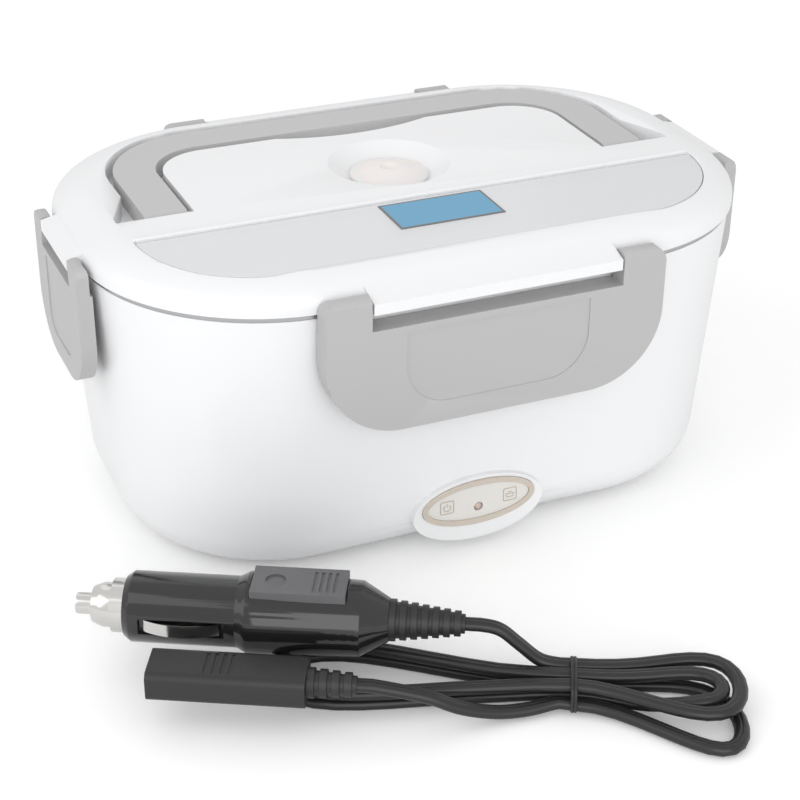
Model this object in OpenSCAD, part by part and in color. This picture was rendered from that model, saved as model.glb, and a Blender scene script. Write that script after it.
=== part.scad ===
// Electric lunch box: a heated case with a lift-out steel tray, a lid held by four
// latches, a folding carry handle, a cutlery compartment, and its tied-up car lead.
// X runs along the box, the front with the power panel faces -Y, and Z is up from the table.

/* [Case] */
// Length of the case at its rim
case_l = 220; // [214:1:240]
// Depth of the case at its rim, front to back
case_d = 145; // [141:1:165]
// Plan radius of the case's corners at the rim
case_r = 59; // [55:1:62]
// Height of the case's rim above the table
rim_z = 95.5; // [92:0.5:110]
// Gap between the table and the underside of the case
base_z = 2; // [1.5:0.5:3]
// Thickness of the case's wall
case_wall = 2.2; // [1.8:0.1:2.6]
// How far each wall leans in from the rim to the foot
wall_lean = 6.7; // [5:0.1:7.5]
// Radius of the bottom edge
foot_r = 15; // [12:1:18]
// How far the oval panel boss stands out of the wall at its top
boss_out = 1.8; // [0.8:0.1:2.4]

/* [Tray and liner] */
// How far inside the rim the tray's wall starts
tray_inset = 8; // [7.5:0.5:9]
// Height of the tray's underside above the table
tray_floor_z = 34; // [32:1:38]
// How far the tray's wall leans in down to its floor
tray_lean = 6; // [4:0.5:8]
// Radius of the tray's bottom edge
tray_foot_r = 14; // [10:1:18]
// Thickness of the tray's steel
steel = 0.7; // [0.5:0.1:1]
// Thickness of the liner's wall
liner_wall = 1.6; // [1.2:0.1:2]

/* [Lid] */
// Height of the lid from its lower edge to its flat top
lid_h = 9.6; // [9.4:0.1:11]
// How far the lid stands out past the case's rim
lid_over = 1; // [0.5:0.1:1.5]
// Width of the lid's soft top edge
lid_edge_w = 14; // [12:0.5:15]
// Thickness of the lid's top
lid_wall = 2; // [1.8:0.1:2.4]
// Radius of the dished recess round the vent plug
vent_dish_r = 20.5; // [19:0.5:22]
// Radius of the vent plug's cap
vent_cap_r = 13.2; // [11:0.1:14]
// How far the vent plug lifts
vent_travel = 8; // [4:1:10]

/* [Cutlery compartment] */
// Length of the compartment's window
window_l = 193; // [184:1:195]
// Distance from the window's straight rear edge to its curved front
window_d = 38.2; // [34:0.2:38.6]
// Thickness of the clear cover
cover_t = 1.6; // [1.2:0.1:2]
// Depth of the compartment below the lid's top
cutlery_depth = 14.5; // [12:0.5:16]
// Length of the label on the cover
label_l = 35.6; // [20:0.2:60]
// Width of the label
label_w = 19; // [10:0.5:20]

/* [Handle] */
// Width of the handle across its arms
handle_l = 176; // [170:1:178]
// Width of the handle's strip
handle_w = 14; // [11:0.5:14.5]
// Thickness of the handle
handle_t = 6; // [5:0.5:6]
// Distance from the handle's pivots to the outside of its rear bar
handle_reach = 63.2; // [56:0.2:64]
// Radius of the handle's outer corners
handle_r = 33; // [28:1:38]
// Radius of the handle's pivot pins
handle_pin_r = 1.75; // [1.4:0.05:2]

/* [Latches] */
// How far the latches stand out past the case's rim
latch_out = 8; // [7.5:0.5:10]
// How far the end latches stand out past the case's rim
end_latch_out = 5.6; // [5.4:0.1:7]
// Width of the front and back latches
latch_w = 112.6; // [104:0.2:116]
// Width of the gap between the arms of the front and back latches
notch_w = 83.2; // [70:0.2:86]
// Width of the latches at the two ends
end_latch_w = 52; // [46:1:60]
// Width of the gap between the arms of the end latches
end_notch_w = 34; // [24:1:36]
// Drop from the lid's flat top to the foot of the latches
latch_drop = 49.5; // [44:0.5:54]
// Radius of the lower corners of the front and back latches
latch_r = 25; // [18:1:28]
// Radius of the lower corners of the end latches
end_latch_r = 18; // [12:1:20]
// Thickness of the latches' walls
latch_wall = 2.2; // [1.8:0.1:2.6]
// Radius of the latches' hinge pins
latch_pin_r = 1.24; // [1:0.02:1.3]

/* [Power panel and inlet] */
// Width of the oval panel
panel_w = 40.2; // [34:0.2:42]
// Height of the oval panel
panel_h = 16.6; // [14:0.2:17]
// Height of the panel's centre above the table
panel_z = 17.7; // [16.5:0.1:19]
// Distance between the inlet's two pins
pin_gap = 7; // [6:0.2:8]
// Radius of the inlet's pins
inlet_pin_r = 1.2; // [1:0.05:1.3]

/* [Heater] */
// Length of the aluminium heating plate
plate_l = 120; // [100:1:130]
// Width of the aluminium heating plate
plate_w = 80; // [70:1:84]
// Length of the ceramic heater
heater_l = 60; // [40:1:70]
// Width of the ceramic heater
heater_w = 30; // [24:1:34]

/* [Lead] */
// Diameter of the cord
cord_d = 4.2; // [4:0.1:4.4]
// Diameter of the car plug's barrel
barrel_d = 21; // [20:0.1:21]
// Length of the right-hand loops from the tie
loop_right = 49; // [46:1:56]
// Length of the left-hand loops from the tie
loop_left = 90; // [82:1:94]

/* [Hidden] */
$fn = 64;

white = [0.94, 0.94, 0.94];
grey = [0.60, 0.60, 0.60];
metal = [0.80, 0.81, 0.82];
black = [0.08, 0.08, 0.09];

// ---- clearances ----
fit = 0.2;        // loose fit of a part in its pocket
run = 0.06;       // radial running clearance of a hinge pin
eps = 0.01;       // overshoot of a cut

// ---- case ----
case_lean_a = atan(wall_lean / (rim_z - base_z));
function case_in(z) = (rim_z - z) * tan(case_lean_a);   // wall's lean at height z
ledge_z = rim_z - 2;                                     // seat of the liner's flange
ledge_w = 3;
boss_a = panel_w / 2 + 2.9;                              // half width of the panel's boss
boss_b = panel_h / 2 + 3.4;                              // half height of the panel's boss
boss_z = panel_z - 2.2;
boss_y = case_d / 2 - case_in(boss_z + boss_b) + boss_out;
boss_depth = 12;
cover_l = case_l - 2 * case_r + 48;
cover_w = case_d - 2 * case_r + 41;
cover_r = 20;
cover_plate_t = 1.7;
cover_lip = 6;                                           // width of the cover's seat
seat_t = 2.5;                                            // thickness of the cover's seat
seat_z = base_z + cover_plate_t;
foot_pad_r = 5;
foot_sink = 0.8;
foot_at = 29;                                            // feet from the corner's centre
catch_drop = 25;                                         // catch ribs below the lid's top
catch_t = 3;
catch_w = 60;
end_catch_w = 16;
catch_gap = 0.4;                                         // catch lip clear of the case's rib
catch_out = 1.4;

// ---- tray and liner ----
flange_t = 0.8;
bead_t = 1.4;
bead_w = 1.4;
tray_r = case_r - tray_inset;
liner_gap = 0.8;                                         // between tray and liner
liner_floor_t = 2.8;
liner_top = tray_floor_z - 1;                            // top of the liner's floor
liner_low = liner_top - liner_floor_t;
plate_t = 2;
plate_top = tray_floor_z - 0.3;
plate_low = plate_top - plate_t;
plate_lip = 6;
heater_t = 6;
sheet_t = 0.5;
clamp_t = 1.2;
clamp_w = 16;
clamp_z = plate_low - heater_t - sheet_t - clamp_t;
clamp_x = plate_l / 2 - 2;
post_x = cover_l / 2 - 15;
post_y = cover_w / 2 - 16;
post_r = 4;
screw_r = 1.4;
head_r = 3.2;
head_t = 2;

// ---- lid ----
lid_low = rim_z + 1.9;
lid_top = lid_low + lid_h;
lid_r = case_r + lid_over;
lid_l = case_l + 2 * lid_over;
lid_d = case_d + 2 * lid_over;
side_r = 5;                                              // where the soft edge turns down
crown_r = 22;                                            // the soft edge's upper arc
crown = [lid_r - lid_edge_w, lid_top - crown_r];         // centres of its two arcs
side = crown + [lid_edge_w - side_r, sqrt(pow(crown_r - side_r, 2) - pow(lid_edge_w - side_r, 2))];
inner_t = 1.6;                                           // thickness of the lid's lower plate
well_t = 1.4;                                            // wall of the lid's recesses
well_top = lid_top - lid_wall * 0.6;                     // where those walls join the lid's skin
groove_z = lid_low + inner_t + well_t;                   // floor of the handle's groove
gasket_in = 7.2;
gasket_out = 2.4;
vent_y = 6;
vent_hole_r = 6.2;
vent_floor = lid_top - 4.6;
vent_foot_r = vent_cap_r + 0.4;

// ---- handle and its groove ----
pivot_z = groove_z + 0.4 + handle_t / 2;
handle_top = pivot_z + handle_t / 2;
pivot_y = -5.2;
handle_rear = pivot_y + handle_reach;
groove_gap = 2.5;                                        // round the outside of the handle
groove_in = 1.7;                                         // between handle and plateau
groove_front = pivot_y - handle_t / 2 - 0.7;
flare = 7;                                               // groove's widening at its front ends
flare_l = 20;
arch = handle_reach;                                     // half length of the arch forms
plateau_l = handle_l - 2 * handle_w - 2 * groove_in;
plateau_rear = handle_rear - handle_w - 4;
scoop_deep = 5.2;
scoop_half = 28;
scoop_r = (scoop_half * scoop_half + scoop_deep * scoop_deep) / (2 * scoop_deep);
handle_pin_in = 7;                                       // pin's seat in the plateau
handle_pin_out = 10;                                     // pin's reach in the arm

// ---- cutlery window ----
window_rear = groove_front - 15.1;
window_r = window_d + 0.8;
cover_edge = 0.35;
cover_sink = 0.3;                                        // cover's top below the lid's
hinge_r = 1.3;
hinge_pin_r = 1;
hinge_pin_l = 2.6;
hinge_y = window_rear - hinge_r - 0.2;
hinge_z = lid_top - cover_sink - hinge_r;
window_step = cover_t + cover_sink + 0.2;
window_ledge = 3.5;
rest_post_x = 24;
rest_post_r = 2;

// ---- latches ----
tongue_low = lid_low;
tongue_face_top = lid_low + 3.5;
tongue_top = lid_low + 6.8;                              // where the tongue leaves the lid
end_tongue_top = lid_low + 5.4;
tongue_in = 2.5;
latch_pivot_z = tongue_low + 2;
pivot_out = latch_out - 3;
end_pivot_out = end_latch_out - 1.9;
arm_clear = 0.4;                                         // arms' round tops clear of the lid
notch_z = lid_top - 14.8;
latch_low = lid_top - latch_drop;
latch_gap = 0.6;
arm_gap = 0.6;                                           // between an arm and the tongue
latch_pin_l = 5;
arm_corner_r = 5.5;
inlay_w = 61;
end_inlay_w = 28;
inlay_in = 7;
inlay_deep = 0.35;

// ---- lead, in its own frame: u along the plug from its tip, v across, z up ----
lead_at = [-128, -66];
lead_turn = -28;
cord_r = cord_d / 2;
layer = cord_d + 0.6;
tie_u = 146;
tie_v = -20;
waist = 6;
tie_lift = 1;                                            // the tie's band lifts the strands in it
waist_step = 4.8;
loop_step = 5.2;
loop_wide = 14;
turns = 2.5;
reverse_at = 1.25;
loop_rings = 24;
hank_sides = 6;
cord_sides = 8;
plug_z = 2 * layer + barrel_d / 2 + 0.3;
plug_v = -14;
plug_end = 92;                                           // plug's grip ends here
relief_l = 22;
connector_u = 26;
connector_v = -38;
connector_l = 45;
connector_w = 14.4;
connector_h = 9.6;
connector_z = 2 * layer + connector_h / 2 + 0.3;
connector_relief_l = 14;

// =====================================================================
// Shared forms
// =====================================================================

// Sweeps its 2-D child round a rounded rectangle; child x = distance from the corner's centre.
module around(l, d, r) {
    for (k = [0:3]) {
        out = (k % 2 == 0 ? l : d) / 2 - r;
        along = (k % 2 == 0 ? d : l) - 2 * r;
        rotate(90 * k) translate([out, 0, 0]) rotate([90, 0, 0])
            linear_extrude(along, center = true) children();
    }
    for (sx = [-1, 1], sy = [-1, 1])
        translate([sx * (l / 2 - r), sy * (d / 2 - r), 0])
            rotate(sx > 0 ? (sy > 0 ? 0 : 270) : (sy > 0 ? 90 : 180))
                rotate_extrude(angle = 90) children();
}

// Rectangle with round corners, drawn flat.
module rounded(l, d, r) {
    square([l, d - 2 * r], center = true);
    square([l - 2 * r, d], center = true);
    for (sx = [-1, 1], sy = [-1, 1])
        translate([sx * (l / 2 - r), sy * (d / 2 - r)]) circle(r);
}

// Upright slab with round corners from z0 to z1.
module slab(l, d, r, z0, z1) {
    translate([0, 0, z0]) linear_extrude(z1 - z0) rounded(l, d, r);
}

// Centre of a swept form, inside its corners' centres.
module core(l, d, r, z0, z1) {
    translate([-(l / 2 - r), -(d / 2 - r), z0]) cube([l - 2 * r, d - 2 * r, z1 - z0]);
}

// Section of a tub with leaning walls and a round bottom edge, drawn in by t, cut at z_end.
module tub_half(r_top, z_top, z_low, edge_r, lean, t, z_end) {
    a = atan(lean / (z_top - z_low));
    zc = z_low + edge_r;
    xc = r_top - (z_top - zc) * tan(a) - edge_r / cos(a);
    r = edge_r - t;
    polygon([
        [0, z_low + t], [xc, z_low + t], [xc + r * cos(a), zc - r * sin(a)],
        [r_top - (z_top - z_end) * tan(a) - t / cos(a), z_end], [0, z_end]
    ]);
    translate([xc, zc]) circle(r);
}

function ellipse_points(a, b, n = 48) = [for (i = [0:n - 1]) [a * cos(360 * i / n), b * sin(360 * i / n)]];

// Oval rod along Y from y0 to y1.
module oval(a, b, y0, y1) {
    translate([0, y1, 0]) rotate([90, 0, 0]) linear_extrude(y1 - y0) polygon(ellipse_points(a, b));
}

// Faces side k of the box: 0 front, 1 right end, 2 back, 3 left end; -Y is outward, y = 0 the rim.
module on_side(k) {
    rotate(90 * k) translate([0, -(k % 2 == 0 ? case_d : case_l) / 2, 0]) children();
}

// =====================================================================
// Case and what it holds
// =====================================================================

module case_section(t, z_end) {
    tub_half(case_r, rim_z, base_z, foot_r, wall_lean, t, z_end);
}

module tub_form(l, d, r, z0, z1) {
    around(l, d, r) children();
    core(l, d, r, z0, z1);
}

module outer_case() {
    color(white) difference() {
        union() {
            around(case_l, case_d, case_r) difference() {
                case_section(0, rim_z);
                case_section(case_wall, rim_z + 1);
            }
            core(case_l, case_d, case_r, base_z, base_z + case_wall);
            around(case_l, case_d, case_r)
                translate([case_r - case_wall - ledge_w, ledge_z - 2])
                    square([ledge_w + case_wall / 2, 2]);
            slab(cover_l + 2 * cover_lip, cover_w + 2 * cover_lip, cover_r + cover_lip,
                 base_z + case_wall / 2, seat_z + seat_t);
            for (k = [0, 2]) rotate(90 * k) translate([0, -boss_y, boss_z])
                difference() {
                    oval(boss_a, boss_b, 0, boss_depth);
                    translate([-boss_a, boss_depth - 4, boss_b - 3]) cube([2 * boss_a, 5, 4]);
                }
            for (k = [0:3]) on_side(k) catch_rib(k % 2 == 0 ? catch_w : end_catch_w);
        }
        slab(cover_l - 2 * cover_lip, cover_w - 2 * cover_lip, cover_r - cover_lip,
             base_z - eps, seat_z + seat_t + eps);
        slab(cover_l + fit, cover_w + fit, cover_r, base_z - eps, seat_z);
        translate([0, 0, panel_z]) oval(panel_w / 2, panel_h / 2, -boss_y - 1, -boss_y + boss_depth + 1);
        translate([0, boss_y - boss_depth - 1, panel_z]) inlet_block(boss_depth + 2, fit / 2);
        foot_places() cylinder(r = foot_pad_r + 0.1, h = foot_sink + eps);
    }
}

module catch_rib(w) {
    z = lid_top - catch_drop;
    translate([-w / 2, -catch_out, z]) cube([w, catch_out + case_in(z) + case_wall / 2, catch_t]);
}

// Places its child at each foot's recess.
module foot_places() {
    for (sx = [-1, 1], sy = [-1, 1])
        translate([sx * (case_l / 2 - case_r + foot_at * cos(45)),
            sy * (case_d / 2 - case_r + foot_at * sin(45)),
                   base_z - eps]) children();
}

module post_places() {
    for (sx = [-1, 1], sy = [-1, 1]) translate([sx * post_x, sy * post_y, 0]) children();
}

module liner_section(t, z_end) {
    tub_half(tray_r + liner_gap + liner_wall, rim_z, liner_low, tray_foot_r + liner_wall + liner_gap,
             tray_lean, t, z_end);
}

module inner_liner() {
    flange_out = case_r - case_wall - 0.5;
    color([0.88, 0.88, 0.88]) difference() {
        union() {
            around(case_l, case_d, case_r) difference() {
                liner_section(0, rim_z - fit);
                liner_section(liner_wall, rim_z + 1);
            }
            core(case_l, case_d, case_r, liner_low, liner_low + liner_wall);
            slab(plate_l + 12, plate_w + 12, 12, liner_low, liner_top);
            around(case_l, case_d, case_r)
                translate([tray_r + liner_gap, ledge_z])
                    square([flange_out - tray_r - liner_gap, rim_z - fit - ledge_z]);
            post_places() translate([0, 0, seat_z + seat_t])
                cylinder(r = post_r, h = liner_low - seat_z - seat_t + eps);
            for (sx = [-1, 1]) translate([sx * (clamp_x + 4), 0, clamp_z + clamp_t])
                cylinder(r = 4, h = liner_low - clamp_z - clamp_t + 1);
        }
        slab(plate_l + fit, plate_w + fit, 6 + fit / 2, plate_low, liner_top + 1);
        slab(plate_l - 2 * plate_lip, plate_w - 2 * plate_lip, 6, liner_low - 1, liner_top);
        post_places() translate([0, 0, seat_z + seat_t - eps]) cylinder(r = screw_r, h = 11);
        for (sx = [-1, 1]) translate([sx * (clamp_x + 4), 0, clamp_z + clamp_t - eps])
            cylinder(r = screw_r, h = 5);
    }
}

module bottom_cover() {
    color(white) difference() {
        union() {
            slab(cover_l - fit, cover_w - fit, cover_r - fit / 2, base_z, seat_z);
            post_places() translate([0, 0, seat_z - eps]) cylinder(r = post_r + 2, h = seat_t + eps);
        }
        post_places() {
            translate([0, 0, base_z - eps]) cylinder(r = head_r + 0.3, h = 0.6 + head_t + eps);
            cylinder(r = screw_r + 0.2, h = seat_z + seat_t + 1);
        }
        for (i = [-5:5]) translate([i * 6 - 1, -cover_w / 4, base_z - eps]) cube([2, cover_w / 2, 0.5]);
    }
}

module screw(shank) {
    difference() {
        cylinder(r = head_r, h = head_t);
        for (a = [0, 90]) rotate(a) translate([-head_r * 0.6, -0.4, -eps]) cube([head_r * 1.2, 0.8, 1]);
    }
    translate([0, 0, head_t]) cylinder(r = screw_r, h = shank);
}

cover_screw_in = 9;                                      // cover screws' reach into the posts

module cover_screws() {
    color(metal) post_places() translate([0, 0, base_z + 0.6])
        screw(seat_z + seat_t - base_z - 0.6 - head_t + cover_screw_in);
}

module rubber_feet() {
    color(black) foot_places() translate([0, 0, foot_sink - base_z + eps - foot_sink])
        cylinder(r = foot_pad_r, h = base_z + foot_sink);
}

module heating_plate() {
    color(metal) slab(plate_l, plate_w, 6, plate_low, plate_top);
}

module ptc_heater() {
    color([0.85, 0.83, 0.78]) translate([-heater_l / 2, -heater_w / 2, plate_low - heater_t])
        cube([heater_l, heater_w, heater_t]);
}

module insulation_sheet() {
    color([0.75, 0.62, 0.35])
        translate([-heater_l / 2 - 2, -heater_w / 2 - 2, plate_low - heater_t - sheet_t])
        cube([heater_l + 4, heater_w + 4, sheet_t]);
}

module heater_clamp() {
    reach = clamp_x + 4 + 5;
    color(metal) difference() {
        translate([-reach, -clamp_w / 2, clamp_z]) cube([2 * reach, clamp_w, clamp_t]);
        for (sx = [-1, 1]) translate([sx * (clamp_x + 4), 0, clamp_z - eps])
            cylinder(r = screw_r + 0.2, h = clamp_t + 1);
    }
}

module clamp_screws() {
    color(metal) for (sx = [-1, 1]) translate([sx * (clamp_x + 4), 0, clamp_z - head_t]) screw(clamp_t + 4);
}

thermostat_x = plate_l / 2 - 20;
thermostat_y = plate_w / 2 - 18;
fuse_x = -(plate_l / 2 - 24);
fuse_y = plate_w / 2 - 18;
fuse_half = 11;
fuse_drop = 2.1;

module thermostat() {
    translate([thermostat_x, thermostat_y, plate_low]) {
        color(metal) translate([0, 0, -3]) cylinder(r = 8, h = 3);
        color([0.9, 0.88, 0.82]) translate([0, 0, -8]) cylinder(r = 6.5, h = 5);
        color(metal) for (sx = [-1, 1]) translate([sx * 4 - 1.5, -0.4, -12]) cube([3, 0.8, 4 + eps]);
    }
}

module thermal_fuse() {
    color([0.8, 0.2, 0.15]) translate([fuse_x, fuse_y, plate_low - fuse_drop]) rotate([0, 90, 0]) {
        translate([0, 0, -6]) cylinder(r = 2, h = 12);
        translate([0, 0, -fuse_half]) cylinder(r = 0.5, h = 2 * fuse_half);
    }
}

// Wire laid through a list of points, in straight six-sided runs that overlap at each bend.
module wire(points, r = 0.9) {
    for (i = [0:len(points) - 2]) {
        d = points[i + 1] - points[i];
        u = d / norm(d);
        translate(points[i] - u * r * 0.4)
            rotate([0, acos(u[2]), atan2(d[1], d[0])]) cylinder(r = r, h = norm(d) + r * 0.8, $fn = 6);
    }
}

module wiring() {
    tip = 0.4;
    pin_tail = 4;
    board_rear = 7.2;
    thermostat_h = 12;
    lay_z = 12;                                          // height of the runs over the case's floor
    lay_y = 40;
    turn_y = 24;
    rear = inlet_back - pin_tail - tip;
    led_y = -boss_y + board_rear + 2 * tip;
    leg_z = plate_low - thermostat_h - tip;
    fuse_z = plate_low - fuse_drop;
    fuse_out = fuse_half + tip;
    rise_x = heater_l / 2 + 6;
    rise_y = clamp_w / 2 + 3;
    low_z = clamp_z - 6;
    side_z = plate_low - 4;
    end_x = heater_l / 2 + tip;
    color([0.7, 0.12, 0.1]) {
        wire([[pin_gap / 2, rear, panel_z], [pin_gap / 2, rear - 4, panel_z],
            [thermostat_x + 4, thermostat_y + 8, lay_z],
              [thermostat_x + 4, thermostat_y, 14], [thermostat_x + 4, thermostat_y, leg_z]]);
        wire([[thermostat_x - 4, thermostat_y, leg_z], [thermostat_x - 4, thermostat_y, 15],
              [rise_x, rise_y, low_z], [rise_x, rise_y, side_z], [end_x, rise_y, side_z]]);
        wire([[6, led_y, panel_z], [6, -lay_y, lay_z], [rise_x, -turn_y, lay_z], [rise_x, -rise_y, low_z],
              [rise_x, -rise_y, side_z], [end_x, -rise_y, side_z]]);
        wire([[-pin_gap / 2, rear, panel_z], [-pin_gap / 2, rear - 4, panel_z],
            [fuse_x - fuse_out - 3, fuse_y + 10, lay_z + 2],
              [fuse_x - fuse_out - 3, fuse_y, fuse_z], [fuse_x - fuse_out, fuse_y, fuse_z]]);
        wire([[fuse_x + fuse_out, fuse_y, fuse_z], [fuse_x + fuse_out + 3, fuse_y, fuse_z],
              [fuse_x + fuse_out + 3, fuse_y + 2, low_z], [-rise_x, rise_y + 4, low_z],
              [-rise_x, rise_y, side_z], [-end_x, rise_y, side_z]]);
        wire([[-6, led_y, panel_z], [-6, -lay_y, lay_z], [-rise_x, -turn_y, lay_z],
            [-rise_x, -rise_y, low_z],
              [-rise_x, -rise_y, side_z], [-end_x, -rise_y, side_z]]);
    }
}

// ---- power panel ----
bezel_w = 2.1;
led_z = panel_z - 2.1;

module panel_bezel() {
    color([0.86, 0.80, 0.72]) translate([0, -boss_y, panel_z]) difference() {
        oval(panel_w / 2 - fit / 2, panel_h / 2 - fit / 2, -0.6, 4);
        oval(panel_w / 2 - bezel_w, panel_h / 2 - bezel_w, -0.2, 1.5);
        oval(panel_w / 2 - bezel_w - 1.5, panel_h / 2 - bezel_w - 1.5, -1, 5);
        oval(panel_w / 2 - bezel_w, panel_h / 2 - bezel_w, -1, 0);
    }
}

module panel_face() {
    color([0.93, 0.93, 0.90]) difference() {
        translate([0, -boss_y, panel_z])
            oval(panel_w / 2 - bezel_w - 0.05, panel_h / 2 - bezel_w - 0.05, 0.1, 1.5);
        translate([0, -boss_y - 1, led_z]) rotate([-90, 0, 0]) cylinder(r = 1.6, h = 4);
    }
}

module led_board() {
    color([0.1, 0.4, 0.2]) translate([-13, -boss_y + 5.6, panel_z - 5.5]) cube([26, 1.6, 11]);
}

module indicator_led() {
    color([0.55, 0.25, 0.2]) translate([0, -boss_y + 1.4, led_z]) rotate([-90, 0, 0]) {
        cylinder(r = 1.5, h = 4.2);
        sphere(r = 1.5);
        translate([0, 0, 2.7]) cylinder(r = 1.9, h = 1.5);
    }
}

// ---- power inlet at the back ----
inlet_w = 18;
inlet_h = 12.6;
inlet_r = 3;
inlet_back = boss_y - boss_depth - 2;
inlet_wall = 2;
inlet_pin_l = 9;                                         // free length of a pin in the socket

module inlet_block(depth, grow) {
    translate([0, depth, 0]) rotate([90, 0, 0]) linear_extrude(depth)
        rounded(inlet_w + 2 * grow, inlet_h + 2 * grow, inlet_r + grow);
}

module inlet_housing() {
    color(black) difference() {
        union() {
            translate([0, inlet_back, panel_z]) inlet_block(boss_y - inlet_back + eps, 0);
            translate([0, 0, panel_z]) oval(panel_w / 2, panel_h / 2, boss_y, boss_y + 1.2);
        }
        translate([0, inlet_back + inlet_wall, panel_z]) inlet_block(boss_depth + 5, -1.4);
        for (sx = [-1, 1]) translate([sx * pin_gap / 2, inlet_back - 1, panel_z]) rotate([-90, 0, 0])
            cylinder(r = inlet_pin_r + 0.4, h = inlet_wall + 2);
    }
}

// Each pin is pressed into the wall by a thicker shank and tapers off into its tail behind it.
module inlet_pins() {
    color(metal) for (sx = [-1, 1]) translate([sx * pin_gap / 2, inlet_back, panel_z]) rotate([-90, 0, 0]) {
        cylinder(r = inlet_pin_r, h = inlet_wall + inlet_pin_l);
        translate([0, 0, -4]) cylinder(r = inlet_pin_r - 0.3, h = 4 + eps);
        cylinder(r = inlet_pin_r + 0.4, h = inlet_wall);
    }
}

// =====================================================================
// Tray
// =====================================================================

module tray_section(t, z_end) {
    tub_half(tray_r, rim_z, tray_floor_z, tray_foot_r, tray_lean, t, z_end);
}

module steel_tray() {
    color(metal) {
        around(case_l, case_d, case_r) {
            difference() {
                tray_section(0, rim_z + flange_t);
                tray_section(steel, rim_z + flange_t + 1);
            }
            translate([tray_r - steel / 2, rim_z]) square([case_r - 0.2 - tray_r + steel / 2, flange_t]);
            translate([case_r - 0.2 - bead_w, rim_z]) square([bead_w, bead_t]);
        }
        core(case_l, case_d, case_r, tray_floor_z, tray_floor_z + steel);
    }
}

// =====================================================================
// Lid
// =====================================================================

// Section of the lid with its two-arc edge, drawn in by t.
module lid_section(t) {
    past = crown + 2 * (side - crown);                   // beyond the point where the arcs meet
    translate([0, lid_low]) square([lid_r - t, side[1] - lid_low]);
    translate([0, side[1]]) square([crown[0], lid_top - t - side[1]]);
    intersection() {
        translate(crown) circle(crown_r - t);
        polygon([[crown[0], side[1]], side, past, [crown[0], past[1]]]);
    }
    intersection() {
        translate(side) circle(side_r - t);
        polygon([side, [2 * lid_r, side[1]], [2 * lid_r, past[1]], past]);
    }
}

// Window of the cutlery compartment, drawn in by t; its rear edge is cut at y_rear.
module window_flat(t, y_rear) {
    r = window_r - t;
    intersection() {
        translate([0, window_rear]) hull_free_stadium(window_l / 2 - window_r, r);
        translate([-window_l, y_rear - 2 * window_d]) square([2 * window_l, 2 * window_d]);
        translate([-window_l, window_rear - window_d + t]) square([2 * window_l, 2 * window_d]);
    }
}

module hull_free_stadium(half, r) {
    square([2 * half, 2 * r], center = true);
    for (sx = [-1, 1]) translate([sx * half, 0]) circle(r);
}

// Groove that the handle lies in, grown by t.
module groove_flat(t) {
    half = handle_l / 2 + groove_gap + t;
    rear = handle_rear + groove_gap + t;
    front = groove_front - t;
    difference() {
        intersection() {
            union() {
                translate([0, rear - arch]) rounded(2 * half, 2 * arch, handle_r + groove_gap + t);
                for (k = [0, 1]) mirror([k, 0]) polygon([
                    [0, front], [half + flare, front], [half + flare, front + flare / 2],
                    [half, groove_front + flare_l + t], [0, groove_front + flare_l + t]
                ]);
            }
            translate([-case_l / 2, front]) square([case_l, rear - front]);
        }
        plateau_flat(t);
    }
}

module plateau_flat(t) {
    r = handle_r - handle_w - groove_in;
    difference() {
        translate([0, plateau_rear - t - arch]) rounded(plateau_l - 2 * t, 2 * arch, r);
        translate([0, plateau_rear - t - scoop_deep + scoop_r]) circle(scoop_r);
    }
}

// Lip that carries a latch: a flat shelf that grows out of the lid's edge.
module tongue(half, out, top) {
    translate([half, 0, 0]) rotate([90, 0, -90]) linear_extrude(2 * half) difference() {
        polygon([
            [-lid_edge_w / 2, tongue_low], [out, tongue_low], [out, tongue_face_top],
            [-tongue_in, top], [-lid_edge_w / 2, top]
        ]);
        translate([lid_over - lid_r, -eps]) lid_section(lid_wall / 2);
    }
}

module latch_bore(half, pivot) {
    for (sx = [-1, 1]) translate([sx * (half - latch_pin_l / 2 + 0.5), -pivot, latch_pivot_z])
        rotate([0, 90, 0]) cylinder(r = latch_pin_r + run, h = latch_pin_l + 1, center = true);
}

// Half length of the lip, how far it stands out and its hinge line, on side k.
function lip_half(k) = (k % 2 == 0 ? notch_w : end_notch_w) / 2 - arm_gap;
function side_out(k) = k % 2 == 0 ? latch_out : end_latch_out;
function side_pivot(k) = k % 2 == 0 ? pivot_out : end_pivot_out;
function side_top(k) = k % 2 == 0 ? tongue_top : end_tongue_top;

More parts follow.
